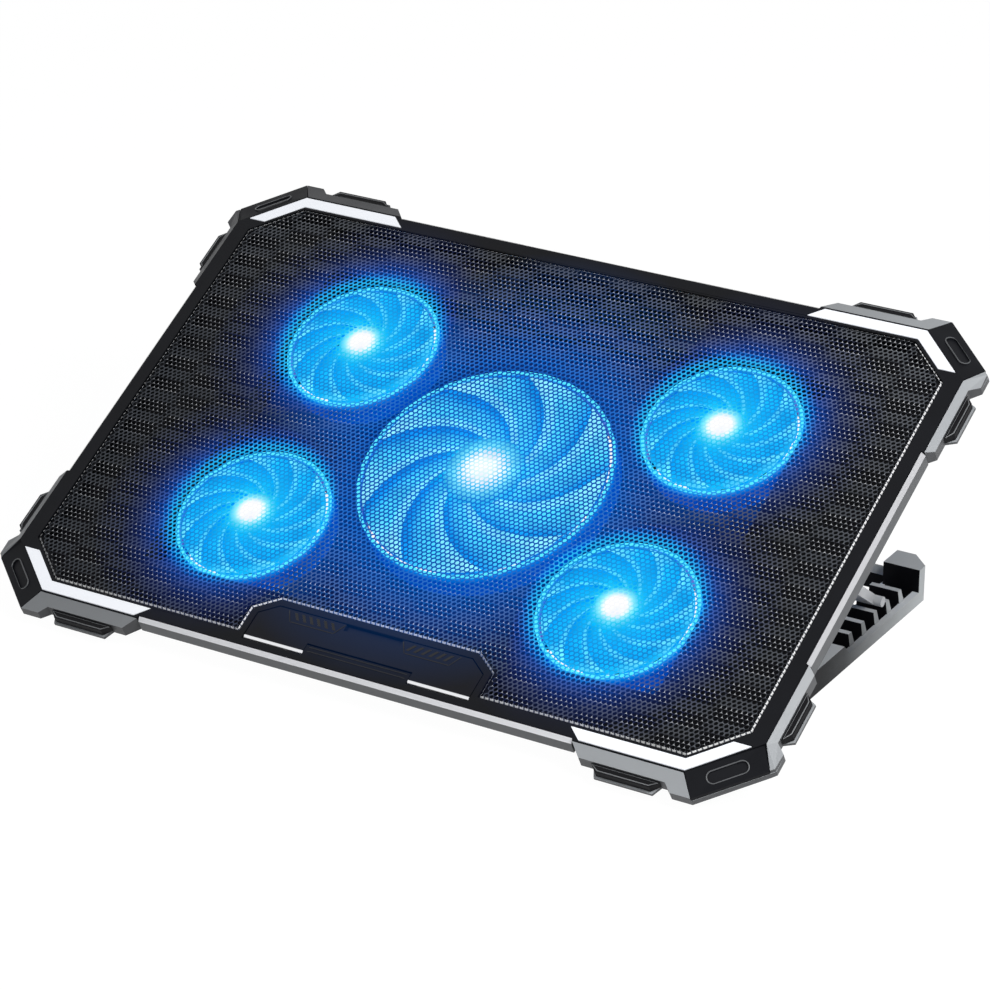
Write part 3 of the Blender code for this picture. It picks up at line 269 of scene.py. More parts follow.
class Nodes:
    """A material with a Principled shader and short calls for the nodes that feed it."""

    def __init__(self, name, colour, roughness, metallic=0.0, specular=0.5):
        self.material = bpy.data.materials.new(name)
        self.material.use_nodes = True
        self.tree = self.material.node_tree
        self.shader = self.tree.nodes["Principled BSDF"]
        self.set("Base Color", row(colour))
        self.set("Roughness", roughness)
        self.set("Metallic", metallic)
        self.set("Specular IOR Level", specular)

    def set(self, socket, value):
        self.shader.inputs[socket].default_value = value

    def wire(self, socket, source):
        self.tree.links.new(source, self.shader.inputs[socket])

    def node(self, kind, **settings):
        made = self.tree.nodes.new(kind)
        for name, value in settings.items():
            setattr(made, name, value)
        return made

    def feed(self, target, value):
        """Links a socket, or sets a plain value."""
        if isinstance(value, bpy.types.NodeSocket):
            self.tree.links.new(value, target)
        else:
            target.default_value = value

    def place(self):
        return self.node("ShaderNodeTexCoord").outputs["Object"]

    def normal(self):
        return self.node("ShaderNodeTexCoord").outputs["Normal"]

    def pad_place(self):
        """A CAD node's own place, turned into the pad frame."""
        made = self.node("ShaderNodeMapping", vector_type="TEXTURE")
        self.feed(made.inputs["Vector"], self.place())
        made.inputs["Location"].default_value = PAD_TO_ROW.translation
        made.inputs["Rotation"].default_value = (TILT, 0.0, 0.0)
        return made.outputs[0]

    def part(self, vector, axis):
        made = self.node("ShaderNodeSeparateXYZ")
        self.feed(made.inputs[0], vector)
        return made.outputs[axis]

    def attribute(self, name):
        return self.node("ShaderNodeAttribute", attribute_name=name).outputs["Fac"]

    def math(self, operation, first, second=0.0):
        made = self.node("ShaderNodeMath", operation=operation)
        self.feed(made.inputs[0], first)
        self.feed(made.inputs[1], second)
        return made.outputs[0]

    def vector_node(self, operation, first, second):
        made = self.node("ShaderNodeVectorMath", operation=operation)
        self.feed(made.inputs[0], first)
        self.feed(made.inputs[1], second)
        return made

    def vector(self, operation, first, second):
        return self.vector_node(operation, first, second).outputs["Vector"]

    def measure(self, operation, first, second):
        return self.vector_node(operation, first, second).outputs["Value"]

    def toward(self, direction):
        """Cosine of the angle between a CAD node's faces and a direction in the pad frame."""
        turned = PAD_TURN.to_3x3() @ Vector(direction).normalized()
        return self.measure("DOT_PRODUCT", self.normal(), tuple(turned))

    def noise(self, scale, detail=3.0):
        made = self.node("ShaderNodeTexNoise")
        self.feed(made.inputs["Vector"], self.place())
        made.inputs["Scale"].default_value = scale
        made.inputs["Detail"].default_value = detail
        return made.outputs["Fac"]

    def span(self, value, low, high, to_low=0.0, to_high=1.0):
        made = self.node("ShaderNodeMapRange")
        for socket, number in zip(made.inputs, (value, low, high, to_low, to_high)):
            self.feed(socket, number)
        return made.outputs[0]

    def ramp(self, value, stops):
        made = self.node("ShaderNodeValToRGB")
        marks = made.color_ramp.elements
        while len(marks) < len(stops):
            marks.new(0.5)
        for mark, (at, colour) in zip(marks, stops):
            mark.position = at
            mark.color = row(colour)
        self.feed(made.inputs[0], value)
        return made.outputs[0]

    def blend(self, kind, first, second, share=1.0):
        """Two colours blended: LIGHTEN, MULTIPLY, MIX and so on."""
        made = self.node("ShaderNodeMix", data_type="RGBA", blend_type=kind)
        self.feed(made.inputs[0], share)
        self.feed(made.inputs[6], first)
        self.feed(made.inputs[7], second)
        return made.outputs[2]

    def bump(self, height, strength):
        made = self.node("ShaderNodeBump")
        self.feed(made.inputs["Height"], height)
        made.inputs["Strength"].default_value = strength
        made.inputs["Distance"].default_value = BUMP_DEPTH
        self.wire("Normal", made.outputs[0])

    def grain(self, scale, strength, spread):
        """Moulded texture: fine bump, with roughness that varies a little."""
        base = self.shader.inputs["Roughness"].default_value
        self.bump(self.noise(scale), strength)
        patches = self.noise(scale / PATCH_DIVIDE)
        self.wire("Roughness", self.span(patches, *NOISE_SPAN, base - spread, base + spread))
        return self

    def drift(self, colour):
        """Base colour that varies a little from place to place."""
        shades = [[factor * part for part in colour] for factor in (1 - DRIFT, 1 + DRIFT)]
        self.wire("Base Color", self.ramp(self.noise(DRIFT_SCALE), list(zip(NOISE_SPAN, shades))))
        return self


def grained(name, colour, roughness, specular, scale=3200, strength=0.25, spread=0.06):
    """Plastic with a moulded grain."""
    return Nodes(name, colour, roughness, specular=specular).grain(scale, strength, spread)


def moulded(name, colour, roughness, specular, **grain):
    """Plastic with a moulded grain and slight colour drift."""
    return grained(name, colour, roughness, specular, **grain).drift(colour)


def fan_share(nodes, place, names):
    """Distance from the nearest of some fans' axes over that fan's radius, from a place in the pad frame."""
    flat = nodes.vector("MULTIPLY", place, (1.0, 1.0, 0.0))
    least = None
    for name in names:
        x, y, radius, _, _ = FANS[name]
        away = nodes.measure("DISTANCE", flat, (x * MM, y * MM, 0.0))
        share = nodes.math("DIVIDE", away, radius * MM)
        least = share if least is None else nodes.math("MINIMUM", least, share)
    return least


# Painted light round the fans by distance in fan radii, and how far the painted glow on the mesh is shifted
# off the fans' axes
GLOW_REACH = 2.2
GLOW_SHIFT = Vector((2.6, -2.7, 0.0))
SMALL_GLOW = (
    (0.0, WHITE), (0.14, WHITE), (0.21, (0.3, 0.9, 1.0)), (0.29, (0.015, 0.62, 0.94)),
    (0.42, (0.002, 0.43, 0.87)), (0.62, (0.002, 0.33, 0.81)), (0.94, (0.001, 0.24, 0.66)),
    (1.08, (0.006, 0.48, 0.92)), (1.14, (0.002, 0.36, 0.9)), (1.2, (0.0, 0.18, 0.68)),
    (1.28, (0.0, 0.06, 0.37)), (1.42, (0.0, 0.03, 0.2)), (1.58, (0.0, 0.012, 0.085)),
    (1.8, (0.0, 0.006, 0.045)), (GLOW_REACH, UNLIT),
)
LARGE_GLOW = (
    (0.0, (0.9, 1.0, 1.0)), (0.09, (0.7, 0.97, 1.0)), (0.18, (0.06, 0.58, 0.95)),
    (0.33, (0.001, 0.17, 0.68)), (0.6, (0.0, 0.12, 0.56)), (0.98, (0.0, 0.08, 0.42)),
    (1.1, (0.0, 0.13, 0.58)), (1.25, (0.0, 0.115, 0.5)), (1.5, (0.0, 0.072, 0.33)),
    (1.8, (0.0, 0.036, 0.16)), (GLOW_REACH, UNLIT),
)
SHELL_GLOW = (
    (1.0, UNLIT), (1.03, (0.0, 0.035, 0.22)), (1.25, (0.0, 0.022, 0.16)), (1.5, (0.0, 0.007, 0.07)),
    (1.85, UNLIT),
)


def glow_ramp(nodes, place, names, stops):
    """Colour by the distance from the nearest of some fans."""
    share = nodes.math("DIVIDE", fan_share(nodes, place, names), GLOW_REACH)
    return nodes.ramp(share, [(at / GLOW_REACH, colour) for at, colour in stops])


def fan_glow(nodes, place):
    """Light that the fans throw on what lies near them."""
    small = glow_ramp(nodes, place, CORNERS, SMALL_GLOW)
    large = glow_ramp(nodes, place, ("centre",), LARGE_GLOW)
    return nodes.blend("LIGHTEN", small, large)


def add_spill(nodes):
    """A little of the fans' light on a CAD node of the pad."""
    nodes.wire("Emission Color", fan_glow(nodes, nodes.pad_place()))
    nodes.set("Emission Strength", SPILL)


def mesh_material():
    """Black steel with painted highlights and painted shade on the embossed webs, and the fans' light painted
    on as a glow.
    """
    nodes = Nodes("mesh_steel", MESH_BLACK, 0.5, specular=0.06)
    nodes.bump(nodes.noise(1500), 0.15)
    # The web values give the webs their painted light and shade
    shade = nodes.ramp(nodes.attribute("web"), [
        (0.0, (0.001, 0.001, 0.002)), (0.15, (0.003, 0.003, 0.005)), (0.5, (0.06, 0.066, 0.077)),
        (0.72, (0.2, 0.21, 0.23)), (1.0, WHITE),
    ])
    # The painted glow is shifted off the fans' axes by a fixed amount
    place = nodes.vector("SUBTRACT", nodes.place(), tuple(GLOW_SHIFT * MM))
    # Round each fan the webs' painted light and shade give way to plain black under the painted glow
    clear = nodes.span(fan_share(nodes, place, FANS), *MESH_CLEARS, MESH_LEAST, 1.0)
    nodes.wire("Base Color", nodes.blend("MIX", row(MESH_BLACK), shade, clear))
    nodes.wire("Emission Color", fan_glow(nodes, place))
    nodes.set("Emission Strength", MESH_GLOW)
    return nodes.material


def shell_material():
    """Dark grey shell with its inside floor painted near black as shade and lit by a painted glow from the
    fans.
    """
    nodes = grained("shell_grey", SHELL_DARK, 0.55, 0.1)
    up = nodes.toward((0, 0, 1))
    # Upward faces, as on the inside floor, are painted near black as shade
    nodes.wire("Base Color", nodes.ramp(up, [(0.1, SHELL_DARK), (0.5, (0.002, 0.0022, 0.003))]))
    # The fans' light is painted on the upward faces as a glow
    nodes.wire("Emission Color", glow_ramp(nodes, nodes.pad_place(), FANS, SHELL_GLOW))
    nodes.wire("Emission Strength", nodes.span(up, *FLOOR_TURN))
    return nodes.material


def guard_material():
    """Satin grey guard with painted light: light on its sloped tops, painted shade down its walls and toward
    the rear left corner.
    """
    nodes = grained("guard_grey", GUARD_LIGHT, 0.4, 0.3, strength=0.14)
    # Painted light on the upward faces, painted shade on the walls
    shade = nodes.ramp(nodes.toward((0, 0, 1)), [(0.3, (0.075, 0.077, 0.082)), (0.7, GUARD_LIGHT)])
    # Painted light that falls off toward the rear left corner
    away = nodes.measure("DISTANCE", nodes.pad_place(), (-HALF_X * MM, HALF_Y * MM, 0.0))
    painted_light_fade = nodes.ramp(nodes.span(away, 0.0, 2 * HALF_X * MM), [
        (0.05, (0.07, 0.07, 0.08)), (0.25, (0.17, 0.17, 0.18)), (0.6, (0.55, 0.55, 0.55)), (0.9, WHITE),
    ])
    nodes.wire("Base Color", nodes.blend("MULTIPLY", shade, painted_light_fade))
    return nodes.material


def stand_material():
    """Grey stand with painted light and shade: light upper faces, faces to the front painted black as shade,
    and a ledge and sides painted lighter toward the rear.
    """
    nodes = grained("stand_grey", STAND_LIGHT, 0.38, 0.03)
    # Painted light that rises toward the rear, on the sides and on the ledge
    along = nodes.span(nodes.part(nodes.place(), "Y"), *STAND_PAINTED_LIGHT_SPAN)
    side = nodes.ramp(along, [
        (0.2, (0.014, 0.0145, 0.016)), (0.36, (0.044, 0.046, 0.049)), (0.93, (0.45, 0.47, 0.48)),
    ])
    ledge = nodes.ramp(along, [
        (0.35, (0.09, 0.093, 0.097)), (0.43, (0.15, 0.155, 0.16)), (0.7, (0.4, 0.41, 0.425)),
        (0.93, (0.58, 0.6, 0.62)),
    ])
    # Painted shade on the low faces in the rack, painted light on the high ones
    height = nodes.part(nodes.place(), "Z")
    top = nodes.ramp(nodes.span(height, *STAND_HEIGHTS), [(0.0, (0.08, 0.082, 0.085)), (1.0, STAND_LIGHT)])
    off_ledge = nodes.math("ABSOLUTE", nodes.math("SUBTRACT", height, STAND_LEDGE))
    top = nodes.blend("MIX", ledge, top, nodes.span(off_ledge, *LEDGE_BAND))
    facing = nodes.normal()
    level = nodes.span(nodes.part(facing, "Z"), *LEVEL_TURN)
    # Faces to the front are painted black as shade
    forward = nodes.span(nodes.measure("DOT_PRODUCT", facing, (0.0, -1.0, 0.0)), *FORWARD_TURN)
    shaded = nodes.blend("MIX", side, top, level)
    nodes.wire("Base Color", nodes.blend("MIX", shaded, row(PAINTED_SHADE_BLACK), forward))
    return nodes.material


def socket_material():
    """Steel socket, painted black as shade inside the pad and bright steel at its mouth."""
    nodes = Nodes("socket_steel", SOCKET_BRIGHT, 0.35, metallic=1.0)
    nodes.grain(2000, 0.1, 0.08)
    low, high = SOCKET_MOUTH
    # Painted shade inside the pad, bright steel at the mouth
    mouth = nodes.span(nodes.part(nodes.pad_place(), "Y"), low * MM, high * MM)
    nodes.wire("Base Color", nodes.ramp(mouth, [(0.0, PAINTED_SHADE_BLACK), (1.0, SOCKET_BRIGHT)]))
    return nodes.material


# Colours of a blade's glow across it, from its trailing side, painted dark as shade, to its leading edge,
# painted as a highlight
PETALS = {
    "small": (
        (0.0, (0.001, 0.3, 0.82)), (0.45, (0.003, 0.42, 0.89)), (0.8, (0.008, 0.5, 0.93)),
        (1.0, (0.16, 0.85, 1.0)),
    ),
    "large": (
        (0.0, (0.0, 0.1, 0.58)), (0.45, (0.006, 0.36, 0.84)), (0.78, (0.08, 0.72, 0.95)),
        (1.0, (0.3, 0.92, 1.0)),
    ),
}


def rotor_material(name, size, radius):
    """Clear plastic lit blue: white in the middle, with painted highlights on the blade edges."""
    nodes = Nodes(name, (0.0, 0.05, 0.2), 0.45, specular=0.08)
    # Painted highlight on the leading edges, painted shade on the trailing sides
    petal = nodes.ramp(nodes.attribute("petal"), PETALS[size])
    flat = nodes.vector("MULTIPLY", nodes.place(), (1.0, 1.0, 0.0))
    share = nodes.math("DIVIDE", nodes.measure("DISTANCE", flat, (0.0, 0.0, 0.0)), radius * MM)
    core = nodes.ramp(share, [
        (0.0, WHITE), (0.16, WHITE), (0.24, (0.2, 0.84, 0.98)), (0.34, (0.0, 0.5, 0.8)), (0.6, UNLIT),
    ])
    nodes.wire("Emission Color", nodes.blend("LIGHTEN", petal, core))
    flicker = nodes.noise(FLICKER_SCALE, FLICKER_DETAIL)
    nodes.wire("Emission Strength", nodes.span(flicker, *FLICKER_NOISE, *FLICKER))
    return nodes.material


def ring_material():
    """Clear ring: its top edge glows, and its wall is darker."""
    nodes = Nodes("ring_light", (0.0, 0.06, 0.2), 0.45, specular=0.08)
    nodes.grain(900, 0.1, 0.05)
    height = nodes.part(nodes.pad_place(), "Z")
    share = nodes.span(height, (RING_TOP - RING_LIT_DEPTH) * MM, RING_TOP * MM)
    nodes.wire("Emission Color", nodes.ramp(share, [
        (0.0, (0.0, 0.05, 0.4)), (0.7, (0.0, 0.2, 0.75)), (0.95, (0.1, 0.85, 1.0)),
    ]))
    nodes.set("Emission Strength", RING_GLOW)
    return nodes.material


def rail_material(name, across, bright):
    """Grey rail with a painted highlight on its top bevel; across is the rail's outward direction in the pad
    frame.
    """
    nodes = Nodes(name, RAIL_GREY, 0.36, specular=0.3)
    nodes.grain(3200, 0.12, 0.05)
    # Painted highlight on the faces that turn up and outward
    mask = nodes.span(nodes.toward(Vector((0, 0, 1)) + Vector(across)), *BEVEL_TURN)
    bevel = (bright, bright, RAIL_COOL * bright)
    nodes.wire("Base Color", nodes.ramp(mask, [(0.0, RAIL_GREY), (1.0, bevel)]))
    return nodes.material


def stopper_material():
    """Satin black with a bright metal trim along the front edge and a fine painted highlight on the edge at
    the right.
    """
    nodes = grained("stopper_black", STOPPER_INK, 0.34, 0.12, scale=5200, strength=0.08)
    edge = STOP_FRONT + TRIM_WIDTH
    along = nodes.part(nodes.pad_place(), "Y")
    trim = nodes.span(along, edge * MM, (edge + TRIM_BLUR) * MM, 1.0, 0.0)
    nodes.wire("Metallic", trim)
    # Painted highlight on the faces that turn up and to the right
    edge_highlight = nodes.span(nodes.toward((1, 0, 1)), *CHAMFER_TURN)
    black = nodes.ramp(edge_highlight, [(0.0, STOPPER_INK), (1.0, (0.3, 0.31, 0.33))])
    nodes.wire("Base Color", nodes.blend("MIX", black, row((0.8, 0.81, 0.83)), trim))
    add_spill(nodes)
    return nodes.material


def frame_material():
    """Satin black with a little of the fans' light on it."""
    nodes = moulded("frame_black", FRAME_INK, 0.46, 0.1)
    add_spill(nodes)
    return nodes.material


def steel_material():
    nodes = Nodes("pin_steel", (0.6, 0.61, 0.63), 0.3, metallic=1.0)
    return nodes.grain(2000, 0.1, 0.08).material


def strip_material():
    """White strip with a soft inner light."""
    nodes = Nodes("strip_white", (0.72, 0.73, 0.75), 0.32)
    nodes.grain(2600, 0.06, 0.05)
    nodes.set("Emission Color", row((0.9, 0.93, 1.0)))
    nodes.set("Emission Strength", STRIP_GLOW)
    return nodes.material


BLACK = moulded("black_plastic", FRAME_INK, 0.46, 0.1).material
TAB_BLACK = moulded("tab_black", (0.006, 0.006, 0.007), 0.5, 0.1, scale=2400).material
LEG_GREY = moulded("leg_grey", (0.4, 0.41, 0.425), 0.35, 0.4).material
RUBBER = moulded("foot_rubber", (0.02, 0.02, 0.021), 0.85, 0.2, scale=1800, strength=0.4).material
BOARD = moulded("board_mask", (0.001, 0.006, 0.003), 0.5, 0.1, scale=900).material
MOTOR = moulded("motor_black", (0.01, 0.01, 0.011), 0.5, 0.2).material
# Grey that stands in for a highlight along the pocket rims
RIM_HIGHLIGHT_GREY = moulded("pocket_rim", RAIL_GREY, 0.35, 0.4, strength=0.1).material
TAB_EDGE = moulded("tab_edge", (0.2, 0.207, 0.215), 0.35, 0.4, strength=0.1).material
RIDGE_BLACK = moulded("louvre_black", (0.014, 0.015, 0.019), 0.35, 0.25, strength=0.08).material
SHELL_GREY = shell_material()
GUARD_GREY = guard_material()
STAND_GREY = stand_material()
SOCKET_STEEL = socket_material()
RING_LIGHT = ring_material()
STOPPER_BLACK = stopper_material()
FRAME_BLACK = frame_material()
STEEL = steel_material()
STRIP_WHITE = strip_material()
MESH_STEEL = mesh_material()
# Each rail's outward direction and how bright the painted highlight on its bevel is
RAILS = {
    "front": ((0, -1, 0), 0.85),
    "rear": ((0, 1, 0), 0.3),
    "left": ((-1, 0, 0), 0.3),
    "right": ((1, 0, 0), 0.5),
}

# Each node's finish by the start of its name, and how far its edges are rounded in millimetres
FINISHES = (
    ("corner_guard", GUARD_GREY, 0.3),
    ("tab_", TAB_BLACK, 0.25),
    ("light_strip", STRIP_WHITE, 0.0),
    ("stand_", STAND_GREY, 0.35),
    ("leg_pin", STEEL, 0.0),
    ("leg_", LEG_GREY, 0.3),
    ("hinge_pin", STEEL, 0.0),
    ("usb_", SOCKET_STEEL, 0.0),
    ("stopper_pin", STEEL, 0.0),
    ("stopper", STOPPER_BLACK, 0.3),
    ("rubber", RUBBER, 0.0),
    ("fan_motor", MOTOR, 0.0),
    ("fan_ring", RING_LIGHT, 0.0),
    ("lower_shell", SHELL_GREY, 0.0),
    ("control_board", BOARD, 0.0),
    ("top_frame", FRAME_BLACK, 0.3),
    ("power_button", BLACK, 0.0),
)


def paint(node, material):
    data = frame["nodes"][node].data
    data.materials.clear()
    data.materials.append(material)


def soften(node, width, segments=2):
    """Rounds a CAD node's hard edges for the render."""
    thing = frame["nodes"][node]
    flatten = thing.modifiers.new("flatten", "DECIMATE")
    flatten.decimate_type = "DISSOLVE"
    flatten.angle_limit = DISSOLVE_ANGLE
    round_off = thing.modifiers.new("round_off", "BEVEL")
    round_off.width = width * MM
    round_off.segments = segments
    round_off.limit_method = "ANGLE"
    round_off.angle_limit = ROUND_ANGLE


def paint_frame():
    """Materials for the CAD nodes that stay visible."""
    for name in frame["nodes"]:
        if name.startswith("trim_rail"):
            side = name.split("_")[-1]
            paint(name, rail_material(f"rail_{side}", *RAILS[side]))
            continue
        finish = next((entry for entry in FINISHES if name.startswith(entry[0])), None)
        if finish:
            paint(name, finish[1])
            if finish[2]:
                soften(name, finish[2])


def add_piece(name, mesh, material, body="pad", place=PAD_TO_ROW):
    mesh.materials.append(material)
    piece = bpy.data.objects.new(name, mesh)
    bpy.context.scene.collection.objects.link(piece)
    piece.matrix_world = place
    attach(piece, body)
    return piece


def grid_mesh(name, points, faces, values):
    """Mesh from numpy points in millimetres and equal-sided faces, with doubled points joined.

    values holds named numbers for the points, kept as attributes.
    """
    keys = np.round(points * JOIN_STEPS).astype(np.int64)
    _, first, index = np.unique(keys, axis=0, return_index=True, return_inverse=True)
    faces = index.reshape(-1)[faces]
    mesh = bpy.data.meshes.new(name)
    corners = faces.shape[1]
    mesh.vertices.add(len(first))
    mesh.vertices.foreach_set("co", (points[first] * MM).astype(np.float32).ravel())
    mesh.loops.add(faces.size)
    mesh.loops.foreach_set("vertex_index", faces.astype(np.int32).ravel())
    mesh.polygons.add(len(faces))
    mesh.polygons.foreach_set("loop_start", np.arange(0, faces.size, corners, dtype=np.int32))
    mesh.update(calc_edges=True)
    for label, numbers in values.items():
        kept = mesh.attributes.new(label, "FLOAT", "POINT")
        kept.data.foreach_set("value", numbers[first].astype(np.float32))
    return mesh


def bay_distance(x, y):
    """How far inside the stopper's tray a point lies, millimetres; negative outside."""
    side = STOP_HALF + TRAY_BORDER - np.abs(x)
    rear = STOP_FRONT + STOP_DEPTH + TRAY_BORDER - y
    run, rise = STOP_HALF - STOP_REAR_HALF, STOP_DEPTH - STOP_SIDE
    slant = math.hypot(run, rise)
    reach = (STOP_HALF * rise + (STOP_FRONT + STOP_SIDE) * run) / slant
    corner = reach + TRAY_BORDER - (np.abs(x) * rise + y * run) / slant
    return np.minimum(np.minimum(side, rear), corner)


def mesh_edge_distance(x, y):
    """How far inside the mesh opening a point lies, millimetres; negative outside."""
    long_side = HALF_Y - MESH_MARGIN - np.abs(y)
    short_side = HALF_X - MESH_MARGIN - np.abs(x)
    slant = math.hypot(CUT_X, CUT_Y)
    reach = (HALF_X * CUT_Y + HALF_Y * CUT_X - CUT_X * CUT_Y) / slant
    corner = reach - MESH_MARGIN - (np.abs(x) * CUT_Y + np.abs(y) * CUT_X) / slant
    inside = np.minimum(np.minimum(long_side, short_side), corner)
    return np.minimum(inside, -bay_distance(x, y))


def smooth(value, low, high):
    share = np.clip((value - low) / (high - low), 0.0, 1.0)
    return share * share * (3 - 2 * share)


def emboss_wave(x, y):
    """Turn of the embossed wave at a point, and how flat the sheet is there between two columns."""
    column = np.round(x / EMBOSS_WIDTH)
    turn = 2 * math.pi * y / EMBOSS_PERIOD + math.pi * (column + 1)
    flat = smooth(np.abs(x / EMBOSS_WIDTH - column), *EMBOSS_FLAT)
    return turn, flat


def emboss(x, y):
    """Height of the staggered waves pressed into the sheet."""
    turn, flat = emboss_wave(x, y)
    return EMBOSS_HEIGHT * np.sin(turn) * (1 - flat)


def web_shade(x, y, joint):
    """Painted light on a web: an even grey on the slopes to the rear, painted highlights on the joints and
    painted shade on the other webs of the slopes to the front.
    """
    turn, flat = emboss_wave(x, y)
    front = smooth(np.cos(turn), -WEB_CREST, WEB_CREST) * (1 - flat) + WEB_FLAT_SHARE * flat
    # Painted light that lifts toward the rear and the right
    rear_lift = WEB_REAR_LIFT * smooth(y, *WEB_REAR_SPAN)
    grey = WEB_GREY + rear_lift + WEB_RIGHT_LIFT * smooth(x, *WEB_RIGHT_SPAN)
    return np.where(joint, grey + WEB_JOINT_LIFT * front, grey - WEB_SLOPE_DROP * front)


def cell_middles():
    """Middles of the mesh cells that lie clear of the sheet's edge."""
    rise = HOLE_PITCH * math.sqrt(3) / 2
    lines = np.arange(-int(HALF_Y / rise) - 1, int(HALF_Y / rise) + 2)
    marks = np.arange(-int(HALF_X / HOLE_PITCH) - 1, int(HALF_X / HOLE_PITCH) + 2)
    mark, line = np.meshgrid(marks, lines)
    x = ((mark + 0.5 * (line % 2)) * HOLE_PITCH).ravel()
    y = (line * rise).ravel()
    keep = mesh_edge_distance(x, y) > SKIRT_INSET + SKIRT_LEAN + EDGE_CLEAR
    return x[keep], y[keep]


def make_mesh_sheet():
    """The perforated sheet: six-sided cells with a hole in each."""
    x, y = cell_middles()
    side = np.arange(CELL_SIDES)
    turn = np.radians(180 / CELL_SIDES * (2 * side + 1))
    cell_radius = HOLE_PITCH / math.sqrt(3)
    rings, shades = [], []
    for radius, drop in ((cell_radius, 0.0), (HOLE_RADIUS, 0.0), (HOLE_RADIUS, MESH_WALL)):
        ring_x = x[:, None] + radius * np.cos(turn)
        ring_y = y[:, None] + radius * np.sin(turn)
        rings.append(np.stack([ring_x, ring_y, MESH_TOP + emboss(ring_x, ring_y) - drop], axis=-1))
        # The joints, at every other outer corner of a cell, carry the painted highlights
        joint = (side % 2 == 1) & (radius > HOLE_RADIUS)
        shades.append(web_shade(ring_x, ring_y, np.broadcast_to(joint, ring_x.shape)))
    points = np.concatenate(rings, axis=1).reshape(-1, 3)
    shade = np.concatenate(shades, axis=1).ravel()
    after = (side + 1) % CELL_SIDES
    top = np.stack([side, after, after + CELL_SIDES, side + CELL_SIDES], axis=-1)
    cell_faces = np.concatenate([top, top + CELL_SIDES])
    starts = len(rings) * CELL_SIDES * np.arange(len(x))
    faces = (cell_faces[None] + starts[:, None, None]).reshape(-1, 4)
    mesh = grid_mesh("mesh_sheet", points, faces, {"web": shade})
    return add_piece("mesh_sheet", mesh, MESH_STEEL)


def mesh_border(inset):
    """Corners of the mesh opening drawn in by a distance, counter-clockwise from the tray's left side."""
    margin = MESH_MARGIN + inset
    slant = math.hypot(CUT_X, CUT_Y)
    corner = (HALF_X * CUT_Y + HALF_Y * CUT_X - CUT_X * CUT_Y) - margin * slant
    long_x = (corner - (HALF_Y - margin) * CUT_X) / CUT_Y
    short_y = (corner - (HALF_X - margin) * CUT_Y) / CUT_X
    half_x, half_y = HALF_X - margin, HALF_Y - margin
    border = TRAY_BORDER + inset
    run, rise = STOP_HALF - STOP_REAR_HALF, STOP_DEPTH - STOP_SIDE
    reach = STOP_HALF * rise + (STOP_FRONT + STOP_SIDE) * run + border * math.hypot(run, rise)
    side, rear = STOP_HALF + border, STOP_FRONT + STOP_DEPTH + border
    side_y, rear_x = (reach - side * rise) / run, (reach - rear * run) / rise
    right = [
        (rear_x, rear), (side, side_y), (side, -half_y), (long_x, -half_y), (half_x, -short_y),
        (half_x, short_y), (long_x, half_y),
    ]
    return right + [(-px, py) for px, py in reversed(right)]


def skirt_path(inset):
    """Points along the sheet's edge, half a hole apart, with a small zigzag."""
    corners = np.array(mesh_border(inset))
    points = []
    for start, end in zip(corners, np.roll(corners, -1, axis=0)):
        length = np.hypot(*(end - start))
        count = max(2, 2 * int(round(length / HOLE_PITCH)))
        step = np.arange(count)[:, None]
        out = np.array([end[1] - start[1], start[0] - end[0]]) / length
        points.append(start + (end - start) * step / count + out * SKIRT_WAVE * (step % 2 - 0.5))
    return np.concatenate(points)


def make_mesh_skirt():
    """The sheet's folded edge: a low leaning zigzag wall round the opening and the tray."""
    foot = skirt_path(SKIRT_INSET)
    count = len(foot)
    middle = np.roll(foot, 1, axis=0) - np.roll(foot, -1, axis=0)
    inward = np.stack([middle[:, 1], -middle[:, 0]], axis=-1)
    top = foot + SKIRT_LEAN * inward / np.linalg.norm(inward, axis=1)[:, None]
    low_line = np.column_stack([foot, np.full(count, SKIRT_FOOT)])
    high_line = np.column_stack([top, np.full(count, SKIRT_TOP)])
    here = np.arange(count)
    # Every other fold gets a bright painted highlight, the rest a grey of painted light
    shade = np.tile(np.array(SKIRT_SHADES)[here % 2], 2)
    after = (here + 1) % count
    faces = np.stack([here, after, after + count, here + count], axis=-1)
    mesh = grid_mesh("mesh_skirt", np.concatenate([low_line, high_line]), faces, {"web": shade})
    add_piece("mesh_skirt", mesh, MESH_STEEL)


def finished_mesh(name, bm):
    """Mesh from a bmesh in millimetres, smooth but for its sharp edges."""
    bmesh.ops.recalc_face_normals(bm, faces=bm.faces)
    bmesh.ops.scale(bm, vec=(MM, MM, MM), verts=bm.verts)
    mesh = bpy.data.meshes.new(name)
    bm.to_mesh(mesh)
    bm.free()
    mesh.shade_smooth()
    mesh.set_sharp_from_angle(angle=SHARP_ANGLE)
    return mesh


def petal_shade(across, share):
    """Brightness of a blade's glow: a painted highlight on its leading edge, an even middle and painted shade
    on its trailing side.
    """
    edge = EDGE_LIFT * math.exp(-((across - EDGE_AT) / EDGE_WIDTH) ** 2)
    body = BODY_LIFT * min(1.0, max(0.0, (across - BODY_START) / BODY_RISE))
    tip = TIP_LIFT * max(0.0, share - TIP_START) / (1 - TIP_START)
    return min(1.0, body + tip + edge)


